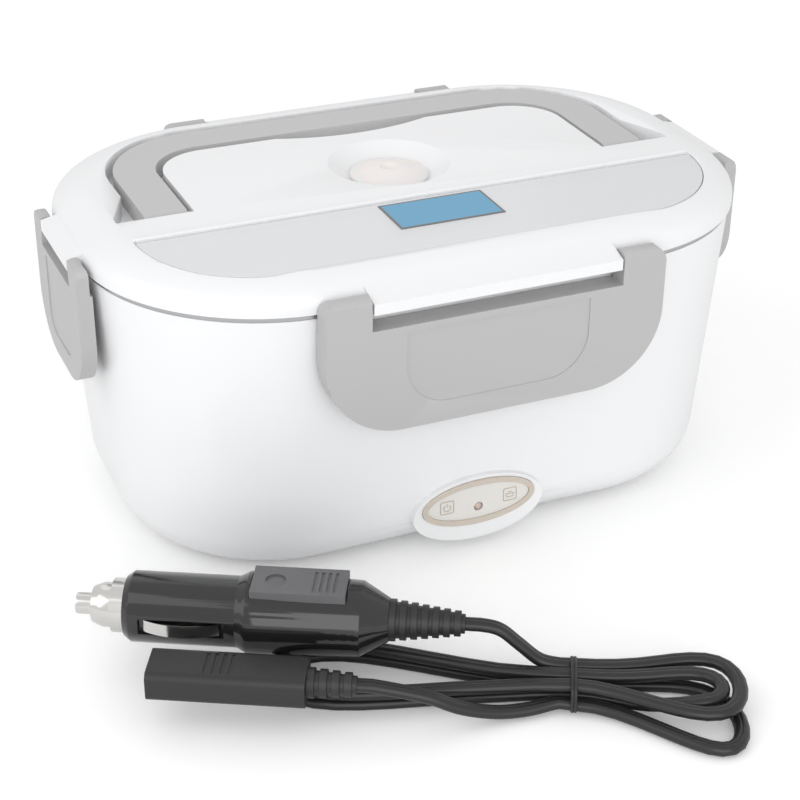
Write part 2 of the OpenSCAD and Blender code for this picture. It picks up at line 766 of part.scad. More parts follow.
module lid_shell() {
    color(white) difference() {
        union() {
            around(lid_l, lid_d, lid_r) difference() {
                lid_section(0);
                translate([0, -eps]) lid_section(lid_wall);
            }
            core(lid_l, lid_d, lid_r, lid_top - lid_wall, lid_top);
            translate([0, 0, groove_z - well_t])
                linear_extrude(well_top - groove_z + well_t) groove_flat(well_t);
            translate([0, 0, lid_top - cutlery_depth - well_t])
                linear_extrude(well_top - lid_top + cutlery_depth + well_t)
                    window_flat(window_ledge - well_t, window_rear + well_t);
            translate([0, 0, lid_top - window_step - 2])
                linear_extrude(well_top - lid_top + window_step + 2)
                    window_flat(-well_t, window_rear + well_t);
            translate([0, vent_y, lid_low]) cylinder(r = vent_hole_r + 2, h = vent_floor - lid_low);
            translate([0, vent_y, vent_floor - lid_wall])
                cylinder(r = vent_dish_r + 1, h = lid_top - vent_floor + lid_wall);
            for (k = [0:3]) on_side(k) tongue(lip_half(k), side_out(k), side_top(k));
            for (sx = [-1, 1]) {
                translate([sx * (plateau_l / 2 - handle_pin_in / 2 - 1.5), pivot_y, pivot_z])
                    rotate([0, 90, 0])
                    cylinder(r = handle_t / 2, h = handle_pin_in + 3, center = true);
                translate([sx * (window_l / 2 + 1.6) - 2.5, hinge_y - 3, hinge_z - 2.4]) cube([5, 6, 3]);
            }
        }
        translate([0, 0, groove_z]) linear_extrude(lid_h) groove_flat(0);
        translate([0, 0, lid_top - cutlery_depth])
            linear_extrude(cutlery_depth + 1) window_flat(window_ledge, window_rear);
        translate([0, 0, lid_top - window_step])
            linear_extrude(window_step + 1) window_flat(0, window_rear);
        translate([0, vent_y, 0]) {
            cylinder(r = vent_hole_r, h = lid_top + 1);
            translate([0, 0, vent_floor])
                cylinder(r1 = vent_foot_r, r2 = vent_dish_r, h = lid_top - vent_floor + eps);
        }
        for (k = [0:3]) on_side(k) latch_bore(lip_half(k), side_pivot(k));
        for (sx = [-1, 1]) {
            translate([sx * (plateau_l / 2 - handle_pin_in / 2 + 0.5), pivot_y, pivot_z]) rotate([0, 90, 0])
                cylinder(r = handle_pin_r, h = handle_pin_in + 1, center = true);
            translate([sx * (window_l / 2 - 0.5 + hinge_pin_l / 2), hinge_y, hinge_z]) rotate([0, 90, 0])
                cylinder(r = hinge_pin_r + run, h = hinge_pin_l + 1, center = true);
        }
        for (sx = [-1, 1])
            translate([sx * (window_l / 2 - window_ledge / 2 - 0.5), hinge_y, hinge_z - hinge_r - 0.3 + 3])
                cube([window_ledge + 1, 2 * hinge_r + 0.5, 6], center = true);
    }
    color(white) for (sx = [-1, 1])
        translate([sx * rest_post_x, window_rear - 7, lid_top - cutlery_depth - eps])
        cylinder(r = rest_post_r, h = cutlery_depth - window_step - 0.3);
}

module lid_inner() {
    color([0.9, 0.9, 0.9]) difference() {
        union() {
            slab(lid_l - 2 * lid_wall - 2 * fit, lid_d - 2 * lid_wall - 2 * fit, lid_r - lid_wall - fit,
                 lid_low, lid_low + inner_t);
            around(case_l, case_d, case_r)
                translate([tray_r - steel - 3.2, lid_low - 3.4]) square([1.4, 3.4 + eps]);
        }
        around(case_l, case_d, case_r)
            translate([case_r - gasket_in - fit, lid_low - eps])
                square([gasket_in - gasket_out + 2 * fit, 1]);
        translate([0, 0, lid_low - 5]) linear_extrude(10)
            window_flat(window_ledge - well_t - fit, window_rear + well_t + fit);
        translate([0, vent_y, lid_low - 1]) cylinder(r = vent_hole_r + 2 + fit, h = 5);
    }
}

module lid_gasket() {
    color([0.93, 0.93, 0.91]) around(case_l, case_d, case_r) {
        translate([case_r - gasket_in, rim_z + flange_t + 0.1])
            square([gasket_in - gasket_out, lid_low + 0.8 - rim_z - flange_t - 0.1]);
    }
}

module vent_plug() {
    dome = 2.4;
    dome_r = (pow(vent_cap_r, 2) + dome * dome) / (2 * dome);
    color([0.92, 0.86, 0.85]) translate([0, vent_y, 0]) {
        rotate_extrude() difference() {
            union() {
                translate([0, vent_floor + 0.1]) square([vent_cap_r, 0.8]);
                intersection() {
                    translate([0, vent_floor + 0.9 + dome - dome_r]) circle(dome_r, $fn = 128);
                    translate([0, vent_floor + 0.5]) square([vent_cap_r, dome + 1]);
                }
            }
            translate([0, vent_floor + 0.9 + dome + 5]) circle(6);
        }
        translate([0, 0, lid_low + 0.6]) cylinder(r = vent_hole_r - fit, h = vent_floor - lid_low - 0.4);
    }
}

module cutlery_cover() {
    color([0.85, 0.9, 0.92, 0.5]) {
        difference() {
            translate([0, 0, lid_top - cover_sink - cover_t]) linear_extrude(cover_t)
                window_flat(cover_edge, hinge_y);
        }
        translate([0, hinge_y, hinge_z]) rotate([0, 90, 0])
            cylinder(r = hinge_r, h = window_l - 2 * cover_edge, center = true);
        translate([0, hinge_y, hinge_z]) rotate([0, 90, 0])
            cylinder(r = hinge_pin_r, h = window_l + 2 * hinge_pin_l - 0.6, center = true);
    }
}

module label() {
    color([0.35, 0.70, 0.86]) translate([-label_l / 2, window_rear - 3 - label_w, lid_top - cover_sink])
        cube([label_l, label_w, 0.25]);
}

// =====================================================================
// Handle
// =====================================================================

module handle_flat() {
    inner_r = handle_r - handle_w;
    difference() {
        intersection() {
            translate([0, handle_rear - arch]) rounded(handle_l, 2 * arch, handle_r);
            translate([-handle_l / 2, pivot_y]) square([handle_l, handle_reach]);
        }
        translate([0, handle_rear - handle_w - arch]) rounded(handle_l - 2 * handle_w, 2 * arch, inner_r);
    }
}

module handle() {
    color(grey) difference() {
        union() {
            translate([0, 0, pivot_z - handle_t / 2]) linear_extrude(handle_t) handle_flat();
            for (sx = [-1, 1])
                translate([sx * (handle_l - handle_w) / 2, pivot_y, pivot_z]) rotate([0, 90, 0])
                cylinder(r = handle_t / 2, h = handle_w, center = true);
        }
        for (sx = [-1, 1])
            translate([sx * (handle_l / 2 - handle_w + handle_pin_out / 2 - 0.5), pivot_y, pivot_z])
            rotate([0, 90, 0]) cylinder(r = handle_pin_r + run, h = handle_pin_out + 1, center = true);
    }
}

module handle_pins() {
    reach = handle_pin_in + groove_in + handle_pin_out - 0.6;
    color(metal) for (sx = [-1, 1])
        translate([sx * (plateau_l / 2 - handle_pin_in + reach / 2 + 0.1), pivot_y, pivot_z])
            rotate([0, 90, 0])
            cylinder(r = handle_pin_r, h = reach, center = true);
}

// =====================================================================
// Latches
// =====================================================================

// Face outline of a latch, drawn in by t and topped at z_top.
module latch_flat(half, r, t, z_top) {
    translate([-(half - t), latch_low + r]) square([2 * (half - t), z_top - latch_low - r]);
    translate([-(half - r), latch_low + t]) square([2 * (half - r), z_top - latch_low - t]);
    intersection() {
        translate([-half, latch_low]) square([2 * half, z_top - latch_low]);
        for (sx = [-1, 1]) translate([sx * (half - r), latch_low + r]) circle(r - t);
    }
}

module arm_flat(half, gap_half, arm_top) {
    w = half - gap_half;
    corner = min(arm_corner_r, 0.45 * w);
    for (sx = [-1, 1]) translate([sx * (gap_half + w / 2), 0]) {
        translate([-w / 2, notch_z - 1]) square([w, arm_top - corner - notch_z + 1]);
        translate([sx > 0 ? -w / 2 : -w / 2 + corner, notch_z]) square([w - corner, arm_top - notch_z]);
        translate([sx * (w / 2 - corner), arm_top - corner]) circle(corner);
    }
}

// Pushes a face outline back from y0 to y1.
module pushed(y0, y1) {
    translate([0, y1, 0]) rotate([90, 0, 0]) linear_extrude(y1 - y0) children();
}

// A latch, open towards the case: face, side walls, two arms on hinge pins, and a lip.
module latch(w, gap_w, r, inlay, lip_w, out, pivot) {
    half = w / 2;
    gap_half = gap_w / 2;
    arm_r = pivot - lid_over - arm_clear;
    lip_z = lid_top - catch_drop - 4.2;
    color(grey) {
        difference() {
            pushed(-out, -latch_gap) latch_flat(half, r, 0, notch_z);
            pushed(-out + latch_wall, -latch_gap + eps)
                latch_flat(half, r, latch_wall, notch_z - latch_wall);
            pushed(-out - 1 + inlay_deep, -out + inlay_deep) inlay_flat(inlay / 2, r - 11);
            translate([-lip_w / 2 - 0.4, -catch_out - catch_gap, latch_low - 1])
                cube([lip_w + 0.8, catch_out + catch_gap, latch_wall + 2]);
        }
        intersection() {
            pushed(-out, -latch_gap) arm_flat(half, gap_half, latch_pivot_z + arm_r + 0.3);
            translate([-half - 1, 0, 0]) rotate([90, 0, 90]) linear_extrude(w + 2) {
                translate([-out, notch_z - 2]) square([out - pivot + arm_r, latch_pivot_z - notch_z + 2]);
                intersection() {
                    translate([-pivot, latch_pivot_z]) circle(arm_r);
                    translate([-out, latch_pivot_z - arm_r]) square([out, 2 * arm_r + 1]);
                }
            }
        }
        for (sx = [-1, 1]) translate([sx * (gap_half - latch_pin_l / 2 + 0.5), -pivot, latch_pivot_z])
            rotate([0, 90, 0]) cylinder(r = latch_pin_r, h = latch_pin_l + 1 - 0.4, center = true);
        translate([-lip_w / 2, -out + latch_wall - eps, lip_z])
            cube([lip_w, out - latch_wall - catch_out - catch_gap + eps, catch_t]);
    }
}

module inlay_flat(half, r) {
    top = notch_z - 2.2;
    low = latch_low + inlay_in;
    translate([-half, low + r]) square([2 * half, top - low - r]);
    translate([-half + r, low]) square([2 * (half - r), top - low]);
    intersection() {
        translate([-half, low]) square([2 * half, top - low]);
        for (sx = [-1, 1]) translate([sx * (half - r), low + r]) circle(r);
    }
}

module wide_latch() {
    latch(latch_w, notch_w, latch_r, inlay_w, catch_w, latch_out, pivot_out);
}

module end_latch() {
    latch(end_latch_w, end_notch_w, end_latch_r, end_inlay_w, end_catch_w, end_latch_out, end_pivot_out);
}

module latch_front() { on_side(0) wide_latch(); }
module latch_right() { on_side(1) end_latch(); }
module latch_back() { on_side(2) wide_latch(); }
module latch_left() { on_side(3) end_latch(); }

// =====================================================================
// Lead
// =====================================================================

function lead_point(p) = [
    lead_at[0] + p[0] * cos(lead_turn) - p[1] * sin(lead_turn),
    lead_at[1] + p[0] * sin(lead_turn) + p[1] * cos(lead_turn),
    p[2]
];
function unit(v) = v / norm(v);

// Tube swept along points: rings square to the path, flat ends.
module tube(points, r, sides) {
    n = len(points);
    up = [0, 0, 1];
    rings = [for (i = [0:n - 1])
        let (d = unit(points[min(i + 1, n - 1)] - points[max(i - 1, 0)]),
             side = unit(cross(d, up)),
             top = cross(side, d))
        for (k = [0:sides - 1]) let (a = 360 * (k + 0.5) / sides)
            points[i] + r * (cos(a) * side + sin(a) * top)];
    faces = concat(
        [[for (k = [0:sides - 1]) k]],
        [[for (k = [sides - 1:-1:0]) (n - 1) * sides + k]],
        [for (i = [0:n - 2], k = [0:sides - 1]) let (a = i * sides + k, b = i * sides + (k + 1) % sides)
            [a, a + sides, b + sides]],
        [for (i = [0:n - 2], k = [0:sides - 1]) let (a = i * sides + k, b = i * sides + (k + 1) % sides)
            [a, b + sides, b]]
    );
    polyhedron(rings, faces, convexity = 10);
}

// Catmull-Rom curve through points, n steps a span.
function spline(p, n) = [for (i = [0:len(p) - 2], k = [0:n - 1]) let (
        t = k / n, a = p[max(i - 1, 0)], b = p[i], c = p[i + 1], d = p[min(i + 2, len(p) - 1)])
    0.5 * ((2 * b) + (c - a) * t +
        (2 * a - 5 * b + 4 * c - d) * t * t + (3 * b - a - 3 * c + d) * t * t * t)];
// The same with its first and last spans left straight.
function laid(p, n) = let (s = spline(p, n), m = len(p) - 1)
    concat([p[0]], [for (i = [n:(m - 1) * n]) s[i]], [p[m]]);

// Tied hank: t counts turns from the waist, heading right; spirals in, climbs, and spirals out.
function ease(x) = let (c = min(max(x, 0), 1)) c * c * (3 - 2 * c);
function hank_in(t) = t < reverse_at ? t : 2 * reverse_at - t;
function hank_skew(t) = -0.24 * (1 - ease((t - 0.35) / 0.3));
function hank_point(t) = let (
        a = 360 * t, s = sin(a), reach = (s > 0 ? loop_right : loop_left) - loop_step * hank_in(t),
        wide = loop_wide + (s > 0 ? 0 : 3) - loop_step * hank_in(t),
        w = waist - waist_step * hank_in(t),
        p = reach * s)
    [tie_u + p, tie_v - w * cos(a) - 2 * wide * s * s * cos(a) + (s > 0 ? hank_skew(t) * p * s : 0),
     cord_r + layer * ease((t - 1.05) / 0.12) + tie_lift * (1 - ease(abs(p) / 25))];
hank_path = [for (i = [0:turns * loop_rings]) hank_point(i / loop_rings)];
hank_line = [for (p = hank_path) lead_point(p)];

// Least gap of the hank to itself, between stretches that are more than three diameters apart.
function path_length(p) = [for (i = 1, s = 0, l = norm(p[1] - p[0]); i < len(p); i = i + 1,
    s = l, l = l + (i < len(p) ? norm(p[i] - p[i - 1]) : 0)) s];
function total(p) = let (d = [for (i = [1:len(p) - 1]) norm(p[i] - p[i - 1])]) d * [for (x = d) 1];
fine = [for (i = [0:turns * 96]) hank_point(i / 96)];
span = ceil(3 * cord_d / (total(fine) / len(fine)));
hank_gap = min([for (i = [0:len(fine) - span - 1], j = [i + span:len(fine) - 1])
    norm(fine[i] - fine[j])]) - cord_d;
echo(hank_gap = hank_gap, hank_length = total(fine));

// Free stretch from the connector's relief down to the waist, in the lead's frame.
connector_relief_end = connector_u + connector_l + connector_relief_l;
plug_relief_end = plug_end + relief_l;
hank_start = hank_point(0);
hank_end = hank_point(turns);
connector_route = [
    [connector_relief_end, connector_v, connector_z],
    [connector_relief_end + cord_d, connector_v, connector_z],
    [104, -37.2, 11.6], [114, -35.4, 6.8], [124, -32.4, 3.6], [133, -29.2, 2.7],
    hank_start - cord_d * unit(hank_path[1] - hank_start),
    hank_start
];
plug_route = [
    hank_end,
    hank_end + cord_d * unit(hank_end - hank_path[len(hank_path) - 2]),
    [135.9, -14, 9.2], [130, -14, 14.15], [124.1, -14, 19.1],
    [plug_relief_end + cord_d, plug_v, plug_z],
    [plug_relief_end, plug_v, plug_z]
];
connector_line = [for (p = laid(connector_route, 3)) lead_point(p)];
plug_line = [for (p = laid(plug_route, 3)) lead_point(p)];
echo(cord_length = total(hank_path) + total(connector_route) + total(plug_route));

module in_lead() {
    translate([lead_at[0], lead_at[1], 0]) rotate(lead_turn) children();
}

// Round bar along u from u0 to u1, centred at v, z.
module bar(u0, u1, v, z, r0, r1) {
    translate([u0, v, z]) rotate([0, 90, 0]) cylinder(r1 = r0, r2 = r1, h = u1 - u0);
}

module connector_cord() {
    color(black) tube(connector_line, cord_r, cord_sides);
}

module plug_cord() {
    color(black) tube(plug_line, cord_r, cord_sides);
}

module lead_hank() {
    color(black) tube(hank_line, cord_r, hank_sides);
}

module lead_connector() {
    color(black) in_lead() translate([connector_u, connector_v, connector_z]) difference() {
        rotate([90, 0, 90]) linear_extrude(connector_l) rounded(connector_w, connector_h, 2.4);
        for (sy = [-1, 1]) translate([-eps, sy * pin_gap / 2, 0]) rotate([0, 90, 0])
            cylinder(r = inlet_pin_r + 0.1, h = 11);
        for (sz = [-1, 1], i = [0:3])
            translate([16 + i * 2.4, -connector_w / 2 + 2.6, sz * connector_h / 2 - 0.3])
            cube([1, connector_w - 5.2, 0.6]);
    }
}

// Ribbed, tapering strain relief with a straight bore for the cord's end.
module relief(length, r0, r1, ribs) {
    pitch = length / ribs;
    rotate([0, 90, 0]) for (i = [0:ribs - 1]) {
        r = r0 + (r1 - r0) * i / ribs;
        translate([0, 0, i * pitch]) cylinder(r = r, h = pitch * 0.62);
        translate([0, 0, i * pitch]) cylinder(r = r - 0.9, h = pitch + (i < ribs - 1 ? pitch * 0.1 : 0));
    }
}

module connector_relief() {
    color(black) in_lead() translate([connector_u + connector_l, connector_v, connector_z])
        relief(connector_relief_l, 4.4, 3.3, 4);
}

module plug_relief() {
    color(black) in_lead() translate([plug_end, plug_v, plug_z]) relief(relief_l, 6.2, 3.4, 7);
}

// ---- car plug, along u from its tip at 0 ----
tip_l = 7;
collar_end = 15;
barrel_end = 48;
plug_bore_r = 4;
spring_l = 7;

module plug_tip() {
    color(metal) in_lead() {
        bar(0.8, collar_end - 4, plug_v, plug_z, 3.2, 3.2);
        translate([0.8, plug_v, plug_z]) rotate([0, 90, 0]) intersection() {
            sphere(r = 3.2);
            translate([0, 0, -0.8]) cylinder(r = 4, h = 2);
        }
        bar(collar_end - 4, collar_end - 2.5, plug_v, plug_z, 3.9, 3.9);
    }
}

module plug_collar() {
    color(metal) in_lead() difference() {
        union() {
            bar(5, 8, plug_v, plug_z, 5.4, 6.6);
            bar(8, 11, plug_v, plug_z, 6.6, 6.6);
            bar(11, collar_end, plug_v, plug_z, 8, 8);
        }
        bar(4, collar_end - 4.2, plug_v, plug_z, 3.3, 3.3);
        bar(collar_end - 4.3, collar_end + 1, plug_v, plug_z, plug_bore_r, plug_bore_r);
    }
}

module plug_body() {
    r = barrel_d / 2;
    color(black) in_lead() difference() {
        union() {
            bar(collar_end, collar_end + 2, plug_v, plug_z, r - 1.4, r);
            bar(collar_end + 2, barrel_end, plug_v, plug_z, r, r);
            bar(barrel_end, barrel_end + 3, plug_v, plug_z, r, r + 1.6);
            bar(barrel_end + 3, plug_end - 8, plug_v, plug_z, r + 1.6, r + 0.6);
            bar(plug_end - 8, plug_end, plug_v, plug_z, r + 0.6, 6.4);
        }
        translate([0, plug_v - 20, 0]) cube([200, 40, 2 * layer - 0.1]);
        bar(collar_end - 1, barrel_end, plug_v, plug_z, plug_bore_r, plug_bore_r);
        for (sy = [-1, 1]) translate([collar_end + 5, plug_v + sy * (r - 2.4), plug_z - 2.6])
            translate([0, sy > 0 ? 0 : -5, 0]) cube([25, 5, 5.2]);
        translate([barrel_end + 4, plug_v - 7, plug_z + r - 1.2]) cube([28, 14, 6]);
    }
}

module plug_inlay() {
    r = barrel_d / 2;
    color([0.45, 0.46, 0.47]) in_lead() difference() {
        translate([barrel_end + 4.2, plug_v - 6.8, plug_z + r - 1.2]) cube([27.6, 13.6, 2.6]);
        translate([barrel_end + 11, plug_v, plug_z + r + 0.8]) cylinder(r = 3, h = 2);
        for (i = [0:3]) translate([barrel_end + 22 + i * 2, plug_v - 5, plug_z + r + 1]) cube([0.9, 10, 1]);
    }
}

// Two sprung side contacts, bowed out of the barrel's slots.
module plug_contacts() {
    r = barrel_d / 2;
    bow = 2.4;
    half = 11;
    arc_r = (half * half + bow * bow) / (2 * bow);
    color(metal) in_lead() for (sy = [-1, 1])
        translate([collar_end + 17.5, plug_v + sy * (r - 1), plug_z - 2]) mirror([0, sy > 0 ? 0 : 1, 0])
            linear_extrude(4) intersection() {
                translate([0, bow - arc_r]) difference() {
                    circle(arc_r, $fn = 96);
                    circle(arc_r - 0.5, $fn = 96);
                }
                translate([-half, -1]) square([2 * half, bow + 2]);
            }
}

module plug_fuse() {
    color([0.8, 0.85, 0.85]) in_lead()
        bar(collar_end - 2.5, barrel_end - 3 - spring_l, plug_v, plug_z, 3.1, 3.1);
}

// Spring behind the fuse, one unbroken coil.
module plug_spring() {
    turns_n = 4;
    color(metal) in_lead() {
        line = [for (i = [0:turns_n * 8]) let (a = 360 * i / 8)
            [barrel_end - 3 - spring_l + 0.5 + (spring_l + 2) * i / (turns_n * 8), plug_v + 2.4 * cos(a),
                plug_z + 2.4 * sin(a)]];
        spring_tube(line, 0.45, 6);
    }
}

module spring_tube(points, r, sides) {
    n = len(points);
    rings = [for (i = [0:n - 1])
        let (d = unit(points[min(i + 1, n - 1)] - points[max(i - 1, 0)]),
             side = unit(cross(d, [1, 0, 0])), top = cross(side, d))
        for (k = [0:sides - 1]) let (a = 360 * k / sides) points[i] + r * (cos(a) * side + sin(a) * top)];
    faces = concat(
        [[for (k = [0:sides - 1]) k]], [[for (k = [sides - 1:-1:0]) (n - 1) * sides + k]],
        [for (i = [0:n - 2], k = [0:sides - 1]) let (a = i * sides + k, b = i * sides + (k + 1) % sides)
            [a, a + sides, b + sides]],
        [for (i = [0:n - 2], k = [0:sides - 1]) let (a = i * sides + k, b = i * sides + (k + 1) % sides)
            [a, b + sides, b]]
    );
    polyhedron(rings, faces, convexity = 10);
}

module twist_tie() {
    w = 2 * waist + cord_d + 1.2;
    h = layer + cord_d + 0.7;
    color(black) in_lead()
        translate([tie_u, tie_v, tie_lift + h / 2 - 0.3]) rotate([90, 0, 90]) translate([0, 0, -1.2]) {
        linear_extrude(2.4) difference() {
            rounded(w + 1.4, h + 0.6 + 0.7, 3);
            rounded(w, h, 2.4);
        }
    }
    color(black) in_lead() translate([tie_u, tie_v + 3, tie_lift + h + 0.3]) rotate([20, -25, 0]) {
        cylinder(r = 0.8, h = 9);
        rotate([0, 55, 0]) cylinder(r = 0.8, h = 8);
    }
}

// =====================================================================

outer_case();
inner_liner();
bottom_cover();
cover_screws();
rubber_feet();
heating_plate();
ptc_heater();
insulation_sheet();
heater_clamp();
clamp_screws();
thermostat();
thermal_fuse();
wiring();
panel_bezel();
panel_face();
led_board();
indicator_led();
inlet_housing();
inlet_pins();
steel_tray();
lid_shell();
lid_inner();
lid_gasket();
vent_plug();
cutlery_cover();
label();
handle();
handle_pins();
latch_front();
latch_right();
latch_back();
latch_left();
lead_connector();
connector_relief();
connector_cord();
lead_hank();
plug_cord();
twist_tie();
plug_relief();
plug_body();
plug_inlay();
plug_collar();
plug_tip();
plug_contacts();
plug_fuse();
plug_spring();
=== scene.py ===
"""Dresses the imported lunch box: studio, finishes, moulded shells, lid details and the tied lead."""

from __future__ import annotations

import logging
import math
from collections.abc import Callable, Sequence
from dataclasses import dataclass, field
from enum import Enum
from typing import Any

import bmesh
import bpy
from mathutils import Matrix, Vector

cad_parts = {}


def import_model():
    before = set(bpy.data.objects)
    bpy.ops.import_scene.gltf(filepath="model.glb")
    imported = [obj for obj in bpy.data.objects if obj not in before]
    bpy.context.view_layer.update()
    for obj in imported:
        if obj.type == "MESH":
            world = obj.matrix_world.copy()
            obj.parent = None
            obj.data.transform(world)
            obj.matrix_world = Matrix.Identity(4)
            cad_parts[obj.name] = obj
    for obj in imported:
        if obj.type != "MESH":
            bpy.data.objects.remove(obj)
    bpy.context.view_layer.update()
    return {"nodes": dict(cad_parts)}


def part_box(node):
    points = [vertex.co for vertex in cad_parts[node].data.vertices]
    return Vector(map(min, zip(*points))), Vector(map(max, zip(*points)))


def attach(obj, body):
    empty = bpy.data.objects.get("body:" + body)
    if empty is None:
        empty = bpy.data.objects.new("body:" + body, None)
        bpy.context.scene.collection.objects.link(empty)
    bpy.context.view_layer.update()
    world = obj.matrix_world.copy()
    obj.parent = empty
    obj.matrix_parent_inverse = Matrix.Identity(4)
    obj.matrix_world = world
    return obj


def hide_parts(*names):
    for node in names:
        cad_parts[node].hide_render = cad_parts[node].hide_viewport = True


LOG = logging.getLogger("lunch_box")
MM = 0.001
PLASTIC_IOR = 1.5
SUBSURFACE_DEPTH = 3 * MM
GRAIN_HEIGHT = 0.2 * MM
MERGE_DISTANCE = 0.002 * MM
FLAT_ANGLE_DEG = 0.4
EDGE_SHARE = 0.35  # most of a face's width that one rounding may take

Point = tuple[float, float, float]
Colour = tuple[float, float, float]


# ---------------------------------------------------------------- finishes


class Effect(Enum):
    """Surface effects that several finishes share, each a shader node group."""

    MOULD = "moulded_surface"
    BRUSH = "brushed_surface"
    DRIFT = "colour_drift"


@dataclass(frozen=True)
class Finish:
    """One material: the plain numbers of its shader and the strength of its effects."""

    name: str
    colour: Colour
    roughness: float
    metallic: float = 0.0
    coat: float = 0.0
    coat_roughness: float = 0.1
    alpha: float = 1.0
    subsurface: float = 0.0
    grain_scale: float = 900.0
    grain_depth: float = 0.05
    roughness_swing: float = 0.04
    drift: float = 0.015
    brushed: bool = False


class EffectGroups:
    """Builds each shared shader node group once."""

    def __init__(self) -> None:
        """Start with no group built."""
        self._built: dict[Effect, bpy.types.NodeTree] = {}

    def get(self, effect: Effect) -> bpy.types.NodeTree:
        """Give the node group of an effect, building it the first time.

        Args:
            effect: the effect that a material asks for.

        Returns:
            The shader node tree.
        """
        if effect not in self._built:
            maker = {
                Effect.MOULD: self._mould,
                Effect.BRUSH: self._brush,
                Effect.DRIFT: self._drift,
            }[effect]
            self._built[effect] = maker(effect.value)
        return self._built[effect]

    @staticmethod
    def _tree(name: str, inputs: dict[str, float | Colour], outputs: Sequence[str]) -> bpy.types.NodeTree:
        """Make an empty group with float or colour inputs and float outputs.

        Args:
            name: the group's name.
            inputs: default value by input name; a tuple makes a colour input.
            outputs: output names; one called Colour is a colour output.

        Returns:
            The new tree with its input and output nodes.
        """
        tree = bpy.data.node_groups.new(name, "ShaderNodeTree")
        for key, value in inputs.items():
            kind = "NodeSocketColor" if isinstance(value, tuple) else "NodeSocketFloat"
            socket = tree.interface.new_socket(key, in_out="INPUT", socket_type=kind)
            socket.default_value = (*value, 1.0) if isinstance(value, tuple) else value
        for key in outputs:
            kind = "NodeSocketColor" if key == "Colour" else "NodeSocketFloat"
            tree.interface.new_socket(key, in_out="OUTPUT", socket_type=kind)
        tree.nodes.new("NodeGroupInput")
        tree.nodes.new("NodeGroupOutput")
        return tree

    @staticmethod
    def _ends(tree: bpy.types.NodeTree) -> tuple[bpy.types.Node, bpy.types.Node]:
        """Return the group's input and output nodes."""
        return tree.nodes["Group Input"], tree.nodes["Group Output"]

    def _noise(self, tree: bpy.types.NodeTree, stretch: Point, scale_from: bpy.types.NodeSocket,
               share: float, detail: float) -> bpy.types.Node:
        """Add a noise texture on object coordinates.

        Args:
            tree: the group that the noise goes in.
            stretch: scale of the coordinates along X, Y and Z.
            scale_from: the socket that drives the noise's scale.
            share: what that scale is multiplied by.
            detail: the noise's detail.

        Returns:
            The noise node.
        """
        place = tree.nodes.new("ShaderNodeTexCoord")
        mapping = tree.nodes.new("ShaderNodeMapping")
        mapping.inputs["Scale"].default_value = stretch
        times = tree.nodes.new("ShaderNodeMath")
        times.operation = "MULTIPLY"
        times.inputs[1].default_value = share
        noise = tree.nodes.new("ShaderNodeTexNoise")
        noise.inputs["Detail"].default_value = detail
        tree.links.new(place.outputs["Object"], mapping.inputs["Vector"])
        tree.links.new(mapping.outputs["Vector"], noise.inputs["Vector"])
        tree.links.new(scale_from, times.inputs[0])
        tree.links.new(times.outputs[0], noise.inputs["Scale"])
        return noise

    def _surface(self, name: str, stretch: Point) -> bpy.types.NodeTree:
        """Build a group that gives a fine height and a roughness that swings about a level.

        Args:
            name: the group's name.
            stretch: scale of the fine noise along X, Y and Z.

        Returns:
            The group.
        """
        tree = self._tree(name, {"Scale": 900.0, "Roughness": 0.3, "Swing": 0.04}, ["Height", "Roughness"])
        start, end = self._ends(tree)
        fine = self._noise(tree, stretch, start.outputs["Scale"], 1.0, 3.0)
        broad = self._noise(tree, (1.0, 1.0, 1.0), start.outputs["Scale"], 0.04, 4.0)
        swing = tree.nodes.new("ShaderNodeMath")
        swing.operation = "MULTIPLY_ADD"
        centre = tree.nodes.new("ShaderNodeMath")
        centre.operation = "SUBTRACT"
        centre.inputs[1].default_value = 0.5
        tree.links.new(broad.outputs["Fac"], centre.inputs[0])
        tree.links.new(centre.outputs[0], swing.inputs[0])
        tree.links.new(start.outputs["Swing"], swing.inputs[1])
        tree.links.new(start.outputs["Roughness"], swing.inputs[2])
        tree.links.new(fine.outputs["Fac"], end.inputs["Height"])
        tree.links.new(swing.outputs[0], end.inputs["Roughness"])
        return tree

    def _mould(self, name: str) -> bpy.types.NodeTree:
        """Build the fine, even surface of moulded plastic."""
        return self._surface(name, (1.0, 1.0, 1.0))

    def _brush(self, name: str) -> bpy.types.NodeTree:
        """Build the drawn-out surface of satin metal."""
        return self._surface(name, (1.0, 1.0, 14.0))

    def _drift(self, name: str) -> bpy.types.NodeTree:
        """Build the slight change of colour over a large piece."""
        tree = self._tree(name, {"Tint": (0.8, 0.8, 0.8), "Amount": 0.02, "Scale": 24.0}, ["Colour"])
        start, end = self._ends(tree)
        noise = self._noise(tree, (1.0, 1.0, 1.0), start.outputs["Scale"], 1.0, 2.0)
        dark = tree.nodes.new("ShaderNodeMath")
        dark.operation = "MULTIPLY"
        one_less = tree.nodes.new("ShaderNodeMath")
        one_less.operation = "SUBTRACT"
        one_less.inputs[0].default_value = 1.0
        scale = tree.nodes.new("ShaderNodeVectorMath")
        scale.operation = "SCALE"
        tree.links.new(noise.outputs["Fac"], dark.inputs[0])
        tree.links.new(start.outputs["Amount"], dark.inputs[1])
        tree.links.new(dark.outputs[0], one_less.inputs[1])
        tree.links.new(start.outputs["Tint"], scale.inputs[0])
        tree.links.new(one_less.outputs[0], scale.inputs["Scale"])
        tree.links.new(scale.outputs["Vector"], end.inputs["Colour"])
        return tree


